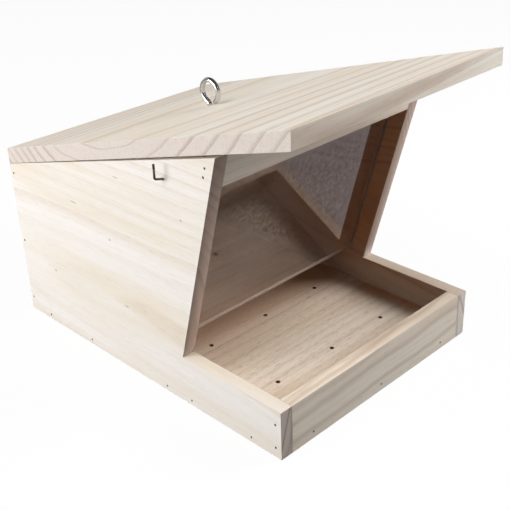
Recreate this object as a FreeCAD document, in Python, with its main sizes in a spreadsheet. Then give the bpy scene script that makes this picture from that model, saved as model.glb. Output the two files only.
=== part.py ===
"""Silo bird feeder: a nailed pine box with a hinged sloping roof, a lift-out window and an open tray.

Millimetres. +Z is up, the tray faces -Y and X runs across the box.
The origin is the middle of the box's underside.
"""
import FreeCAD
import Part
import Sketcher
import math
import os
import re

# Driving dimensions. Lengths are in millimetres and slopes in degrees.
SIZES = {
    # Box of boards
    "box_width": 240,
    "box_depth": 336,
    "side_thickness": 12,
    "side_top_slope": 15.75,
    "floor_thickness": 18,
    "back_height": 151.5,
    "back_thickness": 9,
    # Tray, and the front edges that lean forward above it
    "tray_height": 44,
    "tray_reach": 109,
    "front_rail_thickness": 12,
    "front_lean": 15.8,
    "cross_rail_thickness": 12,
    "cross_rail_height": 31,
    # Roof board
    "roof_length": 365,
    "roof_thickness": 14,
    "roof_slope": 16.2,
    "roof_side_overhang": 0.5,
    "roof_back_inset": 1.2,
    "roof_seat_gap": 0.2,
    # Window pane and its grooves
    "pane_thickness": 3,
    "pane_setback": 15.7,
    "pane_foot": 3.2,
    "pane_lift": 7.5,
    "pane_top_play": 1,
    "pane_end_play": 0.5,
    "groove_depth": 5,
    "groove_play": 0.3,
    # Drain holes in the floor, in two rows
    "drain_diameter": 4,
    "drain_pitch_across": 67,
    "drain_pitch_along": 80.5,
    "drain_from_front": 54.5,
    # Nails
    "nail_length": 30,
    "nail_diameter": 1.4,
    "nail_head_diameter": 2,
    "nail_head_height": 1,
    "nail_set": 0.5,
    "nail_play": 0.02,
    "floor_nail_height": 4.5,
    "floor_nail_first": 32.5,
    "floor_nail_second": 102,
    "floor_nail_third": 133,
    "floor_nail_fourth": 239,
    "floor_nail_last": 32,
    "back_nail_low": 14,
    "back_nail_middle": 75,
    "back_nail_high_drop": 8.5,
    "rail_nail_low": 9,
    "rail_nail_high": 30.5,
    "cross_nail_rise": 7.5,
    "cross_nail_pitch": 7.7,
    "cross_nail_setback": 2.2,
    "end_nail_height": 6.5,
    "end_nail_inset": 24,
    # Screw eye on the roof, set off from the middle line
    "eye_offset": -7,
    "eye_reach": 164.5,
    "eye_ring_radius": 9.9,
    "eye_ring_height": 11.7,
    "eye_wire": 4.4,
    "eye_bend_radius": 3,
    "eye_shank_offset": 4.5,
    "eye_end_offset": 4,
    "eye_tip_cover": 2,
    # Square-bend hooks on the side panels
    "hook_reach": 115,
    "hook_drop": 15.1,
    "hook_standoff": 7.6,
    "hook_rise": 2.2,
    "hook_leg": 12,
    "hook_wire": 1.8,
    "hook_bend_radius": 2,
    "hook_tip_cover": 3,
    # Butt hinges between the back panel and the roof
    "hinge_inset": 48,
    "hinge_length": 40,
    "hinge_leaf_width": 9,
    "hinge_leaf_thickness": 1.2,
    "hinge_leaf_gap": 0.1,
    "hinge_barrel_radius": 2.2,
    "hinge_barrel_gap": 0.3,
    "hinge_pin_radius": 1.2,
    "hinge_pin_play": 0.05,
    "hinge_pin_head_radius": 1.8,
    "hinge_pin_head_height": 0.6,
    "hinge_screw_pitch": 24,
    "hinge_screw_length": 6,
    "hinge_screw_diameter": 2.4,
    "hinge_screw_head": 4.4,
    "screw_play": 0.02,
}

# Places that several pieces share, worked out from the sizes
FRONT = "(-box_depth / 2)"
BACK = "(box_depth / 2)"
INNER = "(box_width / 2 - side_thickness)"
OUTER = "(box_width / 2)"
NOTCH = "(tray_reach - box_depth / 2)"
FLOOR_FRONT = "(front_rail_thickness - box_depth / 2)"
FLOOR_BACK = "(box_depth / 2 - back_thickness)"
SIDE_BACK_TOP = "(back_height - roof_seat_gap)"
NAIL_REACH = "(nail_set + nail_length + nail_play)"
NAIL_HOLE = "(nail_diameter / 2 + nail_play)"
NAIL_HEAD_HOLE = "(nail_head_diameter / 2 + nail_play)"

# The roof's frame: its origin is the top of the back, -Y runs up the slope and Z is square to the roof
ROOF_FRAME = "placement(vector(0; box_depth / 2; back_height); rotation(vector(1; 0; 0); -roof_slope))"
# The window's frame: its origin is the notch in the side panels and Z runs up their leaning front edge
WINDOW_FRAME = f"placement(vector(0; {NOTCH}; tray_height); rotation(vector(1; 0; 0); front_lean))"

# Hinge axis in the roof's frame, with the barrel just clear of the back panel
HINGE_AXIS_Z = "(-hinge_leaf_thickness - hinge_leaf_gap / 2)"
HINGE_AXIS_Y = (
    "((hinge_leaf_thickness + hinge_leaf_gap / 2) * tan(roof_slope)"
    " + (hinge_barrel_radius + hinge_barrel_gap) / cos(roof_slope))"
)
HINGE_MIDDLE = f"({INNER} - hinge_inset)"
HINGE_SEAT = "(2 * hinge_leaf_thickness + hinge_leaf_gap)"
KNUCKLE = "((hinge_length - 2 * hinge_barrel_gap) / 3)"
SINK_TAPER = "-atan((hinge_screw_head - hinge_screw_diameter) / 2 / hinge_leaf_thickness)"

doc = FreeCAD.newDocument("silo_bird_feeder")
sheet = doc.addObject("Spreadsheet::Sheet", "sizes")
for row, (alias, number) in enumerate(SIZES.items(), start=1):
    sheet.set(f"A{row}", alias)
    sheet.set(f"B{row}", str(number))
    sheet.setAlias(f"B{row}", alias)
doc.recompute()

nodes = []


def bound(text):
    """Point every size that an expression names at its cell in the sheet."""
    return re.sub(r"[a-z]\w*", lambda word: f"sizes.{word[0]}" if word[0] in SIZES else word[0], text)


def size(alias):
    """One driving dimension, read from the sheet."""
    return float(sheet.get(alias))


def level(offset):
    """Frame of a sketch that is moved along its plane's normal."""
    return f"placement(vector(0; 0; {offset}); rotation(vector(0; 0; 1); 0))"


def window_on_side(across):
    """The window's frame, drawn on a plane that faces along X."""
    return f"placement(vector({NOTCH}; tray_height; {across}); rotation(vector(0; 0; 1); front_lean))"


def reach_to_roof(setback, slope, rear):
    """Distance up the window's frame, at a setback behind the front edge, to a slope rising from the rear."""
    rise = f"({rear} - tray_height + (box_depth - tray_reach) * tan({slope}))"
    loss = f"({setback}) * (sin(front_lean) + cos(front_lean) * tan({slope}))"
    return f"(({rise} - {loss}) / (cos(front_lean) - sin(front_lean) * tan({slope})))"


def under_roof(setback):
    """Distance up the window's frame to what carries the roof."""
    return reach_to_roof(setback, "roof_slope", "(back_height - roof_seat_gap / cos(roof_slope))")


def new_body(label, frame=None):
    """Start one sub-part, placed in a frame of its own where it has one."""
    body = doc.addObject("PartDesign::Body", label)
    body.Label = label
    if frame:
        body.setExpression("Placement", bound(frame))
    nodes.append(body)
    return body


def new_sketch(body, plane, frame=level("0")):
    """Attach a sketch to one of the body's own origin planes."""
    sketch = body.newObject("Sketcher::SketchObject", "Sketch")
    support = next(feature for feature in body.Origin.OriginFeatures if feature.Role == plane)
    sketch.AttachmentSupport = [(support, "")]
    sketch.MapMode = "FlatFace"
    sketch.setExpression("AttachmentOffset", bound(frame))
    return sketch


def dimension(sketch, constraint, text):
    """Add a constraint whose value is bound to the sheet."""
    index = sketch.addConstraint(constraint)
    sketch.setExpression(f"Constraints[{index}]", bound(text))


def pin_point(sketch, element, end, across, up, drawn=FreeCAD.Vector(1, 1, 0)):
    """Fix one point of a sketch by its two coordinates, starting from where it is drawn."""
    dimension(sketch, Sketcher.Constraint("DistanceX", -1, 1, element, end, drawn.x), across)
    dimension(sketch, Sketcher.Constraint("DistanceY", -1, 1, element, end, drawn.y), up)


def polygon(sketch, corners):
    """Draw a closed outline of straight edges through corners given as expressions."""
    first = sketch.GeometryCount
    count = len(corners)
    turns = [2 * math.pi * index / count for index in range(count + 1)]
    rough = [FreeCAD.Vector(math.cos(turn), math.sin(turn), 0) for turn in turns]
    for start, end in zip(rough, rough[1:]):
        sketch.addGeometry(Part.LineSegment(start, end), False)
    for index in range(count):
        following = first + (index + 1) % count
        sketch.addConstraint(Sketcher.Constraint("Coincident", first + index, 2, following, 1))
    for index, (across, up) in enumerate(corners):
        pin_point(sketch, first + index, 1, across, up)


def rectangle(sketch, low, high):
    """Draw a rectangle between two opposite corners."""
    polygon(sketch, [low, (high[0], low[1]), high, (low[0], high[1])])


def circles(sketch, spots, radius):
    """Draw a circle of one radius at each spot."""
    for across, up in spots:
        index = sketch.addGeometry(Part.Circle(FreeCAD.Vector(), FreeCAD.Vector(0, 0, 1), 1.0), False)
        pin_point(sketch, index, 3, across, up)
        dimension(sketch, Sketcher.Constraint("Radius", index, 1.0), radius)


def raise_pad(body, sketch, length, against=False, taper=None):
    """Pad a sketch along its normal, or against it."""
    feature = body.newObject("PartDesign::Pad", "Pad")
    feature.Profile = sketch
    feature.Reversed = against
    feature.setExpression("Length", bound(length))
    if taper:
        feature.setExpression("TaperAngle", bound(taper))


def cut_pocket(body, sketch, depth, along=False, taper=None):
    """Cut a sketch against its normal, or along it."""
    feature = body.newObject("PartDesign::Pocket", "Pocket")
    feature.Profile = sketch
    feature.Reversed = along
    feature.setExpression("Length", bound(depth))
    if taper:
        feature.setExpression("TaperAngle", bound(taper))


def bore(body, plane, frame, spots, radius, depth, along=False):
    """Cut a round hole at each spot."""
    sketch = new_sketch(body, plane, frame)
    circles(sketch, spots, radius)
    cut_pocket(body, sketch, depth, along)


def nail_bores(body, plane, frame, spots, depth, along):
    """Cut the stepped holes of nails that start at a board's face and pass through it."""
    bore(body, plane, frame, spots, NAIL_HOLE, depth, along)
    bore(body, plane, frame, spots, NAIL_HEAD_HOLE, "nail_set + nail_head_height + nail_play", along)


def nails(label, plane, face, spots, against, frame=None):
    """A group of nails whose heads are set just below a board's face."""
    group = new_body(label, frame)
    inward = "-" if against else "+"
    sketch = new_sketch(group, plane, level(f"{face} {inward} nail_set"))
    circles(sketch, spots, "nail_diameter / 2")
    raise_pad(group, sketch, "nail_length", against)
    heads = new_sketch(group, plane, level(f"{face} {inward} nail_set"))
    circles(heads, spots, "nail_head_diameter / 2")
    raise_pad(group, heads, "nail_head_height", against)


def bent_wire(body, path, plane, frame, centre, wire):
    """Sweep a round wire along a path that is already drawn."""
    section = new_sketch(body, plane, frame)
    circles(section, [centre], f"{wire} / 2")
    feature = body.newObject("PartDesign::AdditivePipe", "Wire")
    feature.Profile = section
    feature.Spine = (path, [f"Edge{index + 1}" for index in range(len(path.Shape.Edges))])


# Nail places. The side panels are nailed to four boards, in coordinates on a plane that faces along X.
FLOOR_NAILS = [
    (f"{FRONT} + floor_nail_{place}", "floor_nail_height") for place in ("first", "second", "third", "fourth")
]
FLOOR_NAILS.append((f"{BACK} - floor_nail_last", "floor_nail_height"))
BACK_NAILS = [
    ("box_depth / 2 - back_thickness / 2", height)
    for height in ("back_nail_low", "back_nail_middle", "back_height - back_nail_high_drop")
]
FRONT_RAIL_NAILS = [
    (f"{FRONT} + front_rail_thickness / 2", height) for height in ("rail_nail_low", "rail_nail_high")
]
CROSS_RAIL_FOOT = f"({under_roof('0')} - cross_rail_height)"
CROSS_RAIL_NAILS = [
    (
        "cross_rail_thickness / 2 + cross_nail_setback",
        f"{CROSS_RAIL_FOOT} + cross_nail_rise + {step} * cross_nail_pitch",
    )
    for step in range(2)
]
# The front rail and the back panel are nailed to the ends of the floor, in coordinates on a plane along Y.
END_NAILS = [(f"{step} * ({INNER} - end_nail_inset)", "end_nail_height") for step in (-1, 0, 1)]

SIDES = {"left": -1, "right": 1}
EYE_SHANK_Y = "(eye_shank_offset - eye_reach)"
HOOK_Y = f"({FRONT} + hook_reach)"
HOOK_Z = f"({SIDE_BACK_TOP} + ({BACK} - {HOOK_Y}) * tan(side_top_slope) - hook_drop)"
HOOK_TILT = "atan(hook_rise / hook_standoff)"
HOOK_DEPTH = "(side_thickness - hook_tip_cover)"


def side_panel(name, side):
    """One side: tray wall, leaning front edge, sloping top, window groove, nail holes and hook hole."""
    panel = new_body(f"{name}_side_panel")
    inner_face = f"{side} * {INNER}"
    outer_face = f"{side} * {OUTER}"
    top = reach_to_roof("0", "side_top_slope", SIDE_BACK_TOP)
    outline = new_sketch(panel, "YZ_Plane", level(inner_face))
    polygon(outline, [
        (FRONT, "0"),
        (BACK, "0"),
        (BACK, SIDE_BACK_TOP),
        (f"{NOTCH} - {top} * sin(front_lean)", f"tray_height + {top} * cos(front_lean)"),
        (NOTCH, "tray_height"),
        (FRONT, "tray_height"),
    ])
    raise_pad(panel, outline, "side_thickness", against=side < 0)
    groove = new_sketch(panel, "YZ_Plane", window_on_side(inner_face))
    rectangle(
        groove,
        ("pane_setback - groove_play", "pane_foot"),
        ("pane_setback + pane_thickness + groove_play", under_roof("0")),
    )
    cut_pocket(panel, groove, "groove_depth", along=side > 0)
    for spots, frame in (
        (FLOOR_NAILS + BACK_NAILS + FRONT_RAIL_NAILS, level(outer_face)),
        (CROSS_RAIL_NAILS, window_on_side(outer_face)),
    ):
        nail_bores(panel, "YZ_Plane", frame, spots, "side_thickness", along=side < 0)
    outside = (
        f"placement(vector({HOOK_Y}; {HOOK_Z} + hook_wire * tan({HOOK_TILT});"
        f" {outer_face} + {side} * hook_wire); rotation(vector(1; 0; 0); {-side} * {HOOK_TILT}))"
    )
    bore(panel, "YZ_Plane", outside, [("0", "0")], "hook_wire / 2 + screw_play",
         f"({HOOK_DEPTH} + hook_wire) / cos({HOOK_TILT}) + screw_play", along=side < 0)


def side_bores(board, spots, face=INNER):
    """Holes for the side nails in both ends of a board that stands between the side panels."""
    for side in SIDES.values():
        bore(board, "YZ_Plane", level(f"{side} * {face}"), spots, NAIL_HOLE,
             f"{NAIL_REACH} - side_thickness", along=side < 0)


def floor_board():
    """Floor between the sides, the front rail and the back, with two rows of drain holes."""
    floor = new_body("floor_board")
    plan = new_sketch(floor, "XY_Plane")
    rectangle(plan, (f"-{INNER}", FLOOR_FRONT), (INNER, FLOOR_BACK))
    raise_pad(floor, plan, "floor_thickness")
    drains = [
        (f"{column} * drain_pitch_across", f"{FRONT} + drain_from_front + {row} * drain_pitch_along")
        for column in (-1, 0, 1)
        for row in range(2)
    ]
    bore(floor, "XY_Plane", level("floor_thickness"), drains, "drain_diameter / 2", "floor_thickness")
    side_bores(floor, FLOOR_NAILS)
    bore(floor, "XZ_Plane", level(f"-{FLOOR_FRONT}"), END_NAILS, NAIL_HOLE,
         f"{NAIL_REACH} - front_rail_thickness")
    bore(floor, "XZ_Plane", level(f"-{FLOOR_BACK}"), END_NAILS, NAIL_HOLE,
         f"{NAIL_REACH} - back_thickness", along=True)


def front_rail():
    """Front wall of the tray."""
    rail = new_body("front_rail")
    plan = new_sketch(rail, "XY_Plane")
    rectangle(plan, (f"-{INNER}", FRONT), (INNER, FLOOR_FRONT))
    raise_pad(rail, plan, "tray_height")
    side_bores(rail, FRONT_RAIL_NAILS)
    nail_bores(rail, "XZ_Plane", level(f"-{FRONT}"), END_NAILS, "front_rail_thickness", along=False)


def hinge_screw_spots():
    """Places of the hinge screws, across and up the roof's slope."""
    return [
        (f"{hinge} * {HINGE_MIDDLE} + {end} * hinge_screw_pitch / 2", "-hinge_leaf_width / 2")
        for hinge in (-1, 1)
        for end in (-1, 1)
    ]


def back_panel():
    """Back board, with its top bevelled to the roof and low enough to seat the hinge leaves."""
    panel = new_body("back_panel")
    profile = new_sketch(panel, "YZ_Plane", level(f"-{INNER}"))
    seat = f"(back_height - {HINGE_SEAT} / cos(roof_slope))"
    polygon(profile, [
        (FLOOR_BACK, "0"),
        (BACK, "0"),
        (BACK, seat),
        (FLOOR_BACK, f"{seat} + back_thickness * tan(roof_slope)"),
    ])
    raise_pad(panel, profile, f"2 * {INNER}")
    side_bores(panel, BACK_NAILS)
    nail_bores(panel, "XZ_Plane", level(f"-{BACK}"), END_NAILS, "back_thickness", along=True)
    roof_plane = (
        f"placement(vector(0; {BACK} - {HINGE_SEAT} * sin(roof_slope);"
        f" back_height - {HINGE_SEAT} * cos(roof_slope)); rotation(vector(1; 0; 0); -roof_slope))"
    )
    bore(panel, "XY_Plane", roof_plane, hinge_screw_spots(), "hinge_screw_diameter / 2 + screw_play",
         "hinge_screw_length - hinge_leaf_thickness + screw_play")


def top_cross_rail():
    """Rail across the top of the window opening, bevelled so that the roof lies on it."""
    rail = new_body("top_cross_rail", WINDOW_FRAME)
    profile = new_sketch(rail, "YZ_Plane", level(f"-{INNER}"))
    polygon(profile, [
        ("0", CROSS_RAIL_FOOT),
        ("cross_rail_thickness", CROSS_RAIL_FOOT),
        ("cross_rail_thickness", under_roof("cross_rail_thickness")),
        ("0", under_roof("0")),
    ])
    raise_pad(rail, profile, f"2 * {INNER}")
    side_bores(rail, CROSS_RAIL_NAILS)


def window_pane():
    """Clear pane, short enough to lift in its grooves while the roof is shut."""
    pane = new_body("window_pane", WINDOW_FRAME)
    half_width = f"({INNER} + groove_depth - pane_end_play)"
    rear_face = "pane_setback + pane_thickness"
    plan = new_sketch(pane, "XY_Plane", level("pane_foot"))
    rectangle(plan, (f"-{half_width}", "pane_setback"), (half_width, rear_face))
    raise_pad(pane, plan, f"{under_roof(rear_face)} - pane_foot - pane_lift - pane_top_play")


def roof_board():
    """Roof, one flat board with upright ends, and the holes of the screw eye and the hinge screws."""
    roof = new_body("roof_board", ROOF_FRAME)
    half_width = f"({OUTER} + roof_side_overhang)"
    front_end = "(-roof_back_inset - roof_length)"
    end_cut = "roof_thickness * tan(roof_slope)"
    profile = new_sketch(roof, "YZ_Plane", level(f"-{half_width}"))
    polygon(profile, [
        ("-roof_back_inset", "0"),
        (f"-roof_back_inset - {end_cut}", "roof_thickness"),
        (f"{front_end} - {end_cut}", "roof_thickness"),
        (front_end, "0"),
    ])
    raise_pad(roof, profile, f"2 * {half_width}")
    bore(roof, "XY_Plane", level("roof_thickness"), [("eye_offset", EYE_SHANK_Y)],
         "eye_wire / 2 + screw_play", "roof_thickness - eye_tip_cover + screw_play")
    bore(roof, "XY_Plane", level("0"), hinge_screw_spots(), "hinge_screw_diameter / 2 + screw_play",
         "hinge_screw_length - hinge_leaf_thickness + screw_play", along=True)


def roof_eye_screw():
    """Eye of thick wire: a shank in the roof, a short bend and a ring that is not quite closed."""
    eye = new_body("roof_eye_screw", ROOF_FRAME)
    ring_centre = FreeCAD.Vector(-size("eye_reach"), size("roof_thickness") + size("eye_ring_height"), 0)
    ring_radius = size("eye_ring_radius")
    bend_radius = size("eye_bend_radius")
    sideways = size("eye_shank_offset") + bend_radius
    drop = math.sqrt((ring_radius + bend_radius) ** 2 - sideways ** 2)
    bend_centre = ring_centre + FreeCAD.Vector(sideways, -drop, 0)
    joining = math.atan2(-drop, sideways)
    ending = 2 * math.pi - math.acos(-size("eye_end_offset") / ring_radius)
    shank_top = bend_centre - FreeCAD.Vector(bend_radius, 0, 0)
    shank_foot = FreeCAD.Vector(shank_top.x, size("eye_tip_cover"), 0)
    normal = FreeCAD.Vector(0, 0, 1)

    path = new_sketch(eye, "YZ_Plane", level("eye_offset"))
    path.addGeometry(Part.LineSegment(shank_foot, shank_top), False)
    bend = Part.Circle(bend_centre, normal, bend_radius)
    path.addGeometry(Part.ArcOfCircle(bend, joining + math.pi, math.pi), False)
    ring = Part.Circle(ring_centre, normal, ring_radius)
    path.addGeometry(Part.ArcOfCircle(ring, joining, ending), False)
    path.addConstraint(Sketcher.Constraint("Tangent", 0, 2, 1, 2))
    path.addConstraint(Sketcher.Constraint("Tangent", 1, 1, 2, 1))
    path.addConstraint(Sketcher.Constraint("Vertical", 0))
    pin_point(path, 0, 1, EYE_SHANK_Y, "eye_tip_cover", shank_foot)
    pin_point(path, 2, 3, "-eye_reach", "roof_thickness + eye_ring_height", ring_centre)
    dimension(path, Sketcher.Constraint("Radius", 1, bend_radius), "eye_bend_radius")
    dimension(path, Sketcher.Constraint("Radius", 2, ring_radius), "eye_ring_radius")
    end_across = -size("eye_reach") - size("eye_end_offset")
    dimension(path, Sketcher.Constraint("DistanceX", -1, 1, 2, 2, end_across), "-eye_reach - eye_end_offset")
    doc.recompute()
    bent_wire(eye, path, "XY_Plane", level("eye_tip_cover"), ("eye_offset", EYE_SHANK_Y), "eye_wire")


def side_hook(name, side):
    """Square-bend hook: a shank that rises a little out of the panel, a bend and an upright leg."""
    turn = 90 - 90 * side
    place = f"placement(vector({side} * {OUTER}; {HOOK_Y}; {HOOK_Z}); rotation(vector(0; 0; 1); {turn}))"
    hook = new_body(f"{name}_side_hook", place)
    depth = size("side_thickness") - size("hook_tip_cover")
    tilt = math.atan(size("hook_rise") / size("hook_standoff"))
    bend = size("hook_bend_radius")
    trim = bend * math.tan((math.pi / 2 - tilt) / 2)
    corner = FreeCAD.Vector(size("hook_standoff"), size("hook_rise"), 0)
    heading = FreeCAD.Vector(math.cos(tilt), math.sin(tilt), 0)
    upward = FreeCAD.Vector(0, 1, 0)
    tip = heading * (-depth / math.cos(tilt))
    leg_top = corner + upward * size("hook_leg")
    bend_centre = corner + FreeCAD.Vector(-bend, trim, 0)
    bend_circle = Part.Circle(bend_centre, FreeCAD.Vector(0, 0, 1), bend)

    path = new_sketch(hook, "XZ_Plane")
    path.addGeometry(Part.LineSegment(tip, corner - heading * trim), False)
    path.addGeometry(Part.ArcOfCircle(bend_circle, tilt - math.pi / 2, 0), False)
    path.addGeometry(Part.LineSegment(corner + upward * trim, leg_top), False)
    path.addConstraint(Sketcher.Constraint("Tangent", 0, 2, 1, 1))
    path.addConstraint(Sketcher.Constraint("Tangent", 1, 2, 2, 1))
    path.addConstraint(Sketcher.Constraint("Vertical", 2))
    pin_point(path, 0, 1, f"-{HOOK_DEPTH}", f"-{HOOK_DEPTH} * tan({HOOK_TILT})", tip)
    path.addConstraint(Sketcher.Constraint("PointOnObject", -1, 1, 0))
    pin_point(path, 2, 2, "hook_standoff", "hook_rise + hook_leg", leg_top)
    dimension(path, Sketcher.Constraint("Radius", 1, bend), "hook_bend_radius")
    doc.recompute()
    tip_frame = (
        f"placement(vector(0; -{HOOK_DEPTH} * tan({HOOK_TILT}); -{HOOK_DEPTH});"
        f" rotation(vector(1; 0; 0); -{HOOK_TILT}))"
    )
    bent_wire(hook, path, "YZ_Plane", tip_frame, ("0", "0"), "hook_wire")


def hinge_leaf(label, hinge, on_roof):
    """One leaf of a butt hinge, with its share of the barrel and two countersunk holes."""
    leaf = new_body(label, ROOF_FRAME)
    middle = f"{hinge} * {HINGE_MIDDLE}"
    top = "0" if on_roof else "-hinge_leaf_thickness - hinge_leaf_gap"
    foot = f"{top} - hinge_leaf_thickness"
    plate = new_sketch(leaf, "YZ_Plane", level(f"{middle} - hinge_length / 2"))
    rectangle(plate, ("-hinge_leaf_width", foot), (HINGE_AXIS_Y, top))
    raise_pad(leaf, plate, "hinge_length")

    # The plate is cut back from the knuckles of the other leaf
    if on_roof:
        starts = ["-hinge_length / 2", f"{KNUCKLE} / 2"]
        length = f"{KNUCKLE} + hinge_barrel_gap"
        knuckles = [f"-{KNUCKLE} / 2"]
    else:
        starts = [f"-{KNUCKLE} / 2 - hinge_barrel_gap"]
        length = f"{KNUCKLE} + 2 * hinge_barrel_gap"
        knuckles = ["-hinge_length / 2", f"hinge_length / 2 - {KNUCKLE}"]
    clearing = new_sketch(leaf, "XY_Plane", level(top))
    for start in starts:
        rectangle(
            clearing,
            (f"{middle} + {start}", f"{HINGE_AXIS_Y} - hinge_barrel_radius - hinge_barrel_gap"),
            (f"{middle} + {start} + {length}", f"{HINGE_AXIS_Y} + hinge_barrel_radius"),
        )
    cut_pocket(leaf, clearing, "hinge_leaf_thickness")
    for start in knuckles:
        knuckle = new_sketch(leaf, "YZ_Plane", level(f"{middle} + {start}"))
        circles(knuckle, [(HINGE_AXIS_Y, HINGE_AXIS_Z)], "hinge_barrel_radius")
        raise_pad(leaf, knuckle, KNUCKLE)
    bore(leaf, "YZ_Plane", level(f"{middle} - hinge_length / 2"), [(HINGE_AXIS_Y, HINGE_AXIS_Z)],
         "hinge_pin_radius + hinge_pin_play", "hinge_length", along=True)
    spots = hinge_screw_spots()[:2] if hinge < 0 else hinge_screw_spots()[2:]
    sinks = new_sketch(leaf, "XY_Plane", level(foot if on_roof else top))
    circles(sinks, spots, "hinge_screw_head / 2 + screw_play")
    cut_pocket(leaf, sinks, "hinge_leaf_thickness", along=on_roof, taper=SINK_TAPER)


def hinge_pin(label, hinge):
    """Pin of a butt hinge, with a low head at each end."""
    pin = new_body(label, ROOF_FRAME)
    middle = f"{hinge} * {HINGE_MIDDLE}"
    axis = [(HINGE_AXIS_Y, HINGE_AXIS_Z)]
    shaft = new_sketch(pin, "YZ_Plane", level(f"{middle} - hinge_length / 2"))
    circles(shaft, axis, "hinge_pin_radius")
    raise_pad(pin, shaft, "hinge_length")
    for end in (-1, 1):
        head = new_sketch(pin, "YZ_Plane", level(f"{middle} + {end} * hinge_length / 2"))
        circles(head, axis, "hinge_pin_head_radius")
        raise_pad(pin, head, "hinge_pin_head_height", against=end < 0)


def hinge_screws(label, on_roof):
    """Countersunk screws of both hinges on one side of the joint, with their heads flush."""
    group = new_body(label, ROOF_FRAME)
    face = "-hinge_leaf_thickness" if on_roof else "-hinge_leaf_thickness - hinge_leaf_gap"
    heads = new_sketch(group, "XY_Plane", level(face))
    circles(heads, hinge_screw_spots(), "hinge_screw_head / 2")
    raise_pad(group, heads, "hinge_leaf_thickness", against=not on_roof, taper=SINK_TAPER)
    shanks = new_sketch(group, "XY_Plane", level(face))
    circles(shanks, hinge_screw_spots(), "hinge_screw_diameter / 2")
    raise_pad(group, shanks, "hinge_screw_length", against=not on_roof)


def build():
    """Make every sub-part of the feeder."""
    floor_board()
    front_rail()
    back_panel()
    top_cross_rail()
    window_pane()
    roof_board()
    roof_eye_screw()
    for name, side in SIDES.items():
        face = f"{side} * {OUTER}"
        side_panel(name, side)
        side_hook(name, side)
        nails(f"{name}_floor_nails", "YZ_Plane", face, FLOOR_NAILS, side > 0)
        nails(f"{name}_back_nails", "YZ_Plane", face, BACK_NAILS, side > 0)
        nails(f"{name}_front_rail_nails", "YZ_Plane", face, FRONT_RAIL_NAILS, side > 0)
        nails(f"{name}_cross_rail_nails", "YZ_Plane", face, CROSS_RAIL_NAILS, side > 0, WINDOW_FRAME)
        hinge_leaf(f"{name}_hinge_body_leaf", side, on_roof=False)
        hinge_leaf(f"{name}_hinge_roof_leaf", side, on_roof=True)
        hinge_pin(f"{name}_hinge_pin", side)
    nails("front_rail_floor_nails", "XZ_Plane", f"-{FRONT}", END_NAILS, True)
    nails("back_panel_floor_nails", "XZ_Plane", f"-{BACK}", END_NAILS, False)
    hinge_screws("hinge_body_screws", on_roof=False)
    hinge_screws("hinge_roof_screws", on_roof=True)


def check():
    """Stop if a feature failed, a cut removed nothing or a sub-part is not sound."""
    failed = [item.Name for item in doc.Objects if {"Invalid", "Error"} & set(item.State)]
    if failed:
        raise RuntimeError(f"failed: {failed}")
    for item in doc.Objects:
        if item.TypeId == "PartDesign::Pocket" and item.Shape.Volume >= item.BaseFeature.Shape.Volume:
            raise RuntimeError(f"{item.Name} cuts nothing")
    for node in nodes:
        if node.Shape.isNull() or not node.Shape.isValid() or node.Shape.Volume <= 0:
            raise RuntimeError(f"{node.Label} is not a sound solid")


def write():
    """Write one file for each sub-part."""
    os.makedirs("parts", exist_ok=True)
    for node in nodes:
        node.Shape.exportStep(f"parts/{node.Label}.step")
        print(f"{node.Label}: {len(node.Shape.Solids)} solids, {node.Shape.Volume:.1f} mm3")


build()
doc.recompute()
check()
write()
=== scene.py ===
"""Looks of a silo bird feeder: a nailed pine box with a hinged roof, a clear window and an open tray."""
import logging
import math
from collections.abc import Callable, Iterable, Iterator, Mapping, Sequence
from dataclasses import dataclass, field
from enum import Enum
from functools import cached_property

import bmesh
import bpy
from mathutils import Matrix, Vector


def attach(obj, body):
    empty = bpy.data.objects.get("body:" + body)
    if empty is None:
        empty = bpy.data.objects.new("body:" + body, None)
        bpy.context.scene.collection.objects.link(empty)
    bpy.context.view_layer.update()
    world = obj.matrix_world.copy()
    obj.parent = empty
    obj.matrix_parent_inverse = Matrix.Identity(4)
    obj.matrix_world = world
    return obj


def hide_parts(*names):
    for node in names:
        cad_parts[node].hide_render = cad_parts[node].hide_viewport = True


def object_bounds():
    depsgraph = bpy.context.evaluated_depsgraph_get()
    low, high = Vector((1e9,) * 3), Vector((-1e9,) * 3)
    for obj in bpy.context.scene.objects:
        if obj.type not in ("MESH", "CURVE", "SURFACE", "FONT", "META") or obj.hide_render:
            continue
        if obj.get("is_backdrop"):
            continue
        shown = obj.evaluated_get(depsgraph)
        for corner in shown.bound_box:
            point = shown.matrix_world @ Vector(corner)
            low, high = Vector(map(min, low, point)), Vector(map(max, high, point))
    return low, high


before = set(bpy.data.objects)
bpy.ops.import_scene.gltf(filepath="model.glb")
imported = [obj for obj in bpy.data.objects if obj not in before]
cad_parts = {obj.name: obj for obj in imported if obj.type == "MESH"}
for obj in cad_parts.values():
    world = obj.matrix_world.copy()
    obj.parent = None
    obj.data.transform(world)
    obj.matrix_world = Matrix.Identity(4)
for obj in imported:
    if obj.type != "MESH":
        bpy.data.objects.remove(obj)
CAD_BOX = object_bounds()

LOG = logging.getLogger("feeder")
MM = 0.001
PICTURE_WIDTH = 510
ROOF_SLOPE = math.radians(16.2)
ROOF_REAR = Vector((0.0, 168.0, 151.5))
PANE_LEAN = math.radians(15.8)
BOX_HALF = 120.0
TRAY_HEIGHT = 44.0
FEEDER_MIDDLE = Vector((0.0, 0.0, 0.12))
NOISE_WAY = (1.0, 0.7, -1.0)
NOISE_ROUGHNESS = 0.55
WELD = 1e-6
WHITE = (1.0, 1.0, 1.0, 1.0)

Span = tuple[float, float]
Profile = tuple[Span, ...]


class Body(str, Enum):
    """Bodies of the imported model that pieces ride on."""

    BOX = "box"
    ROOF = "roof"
    PANE = "pane"


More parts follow.
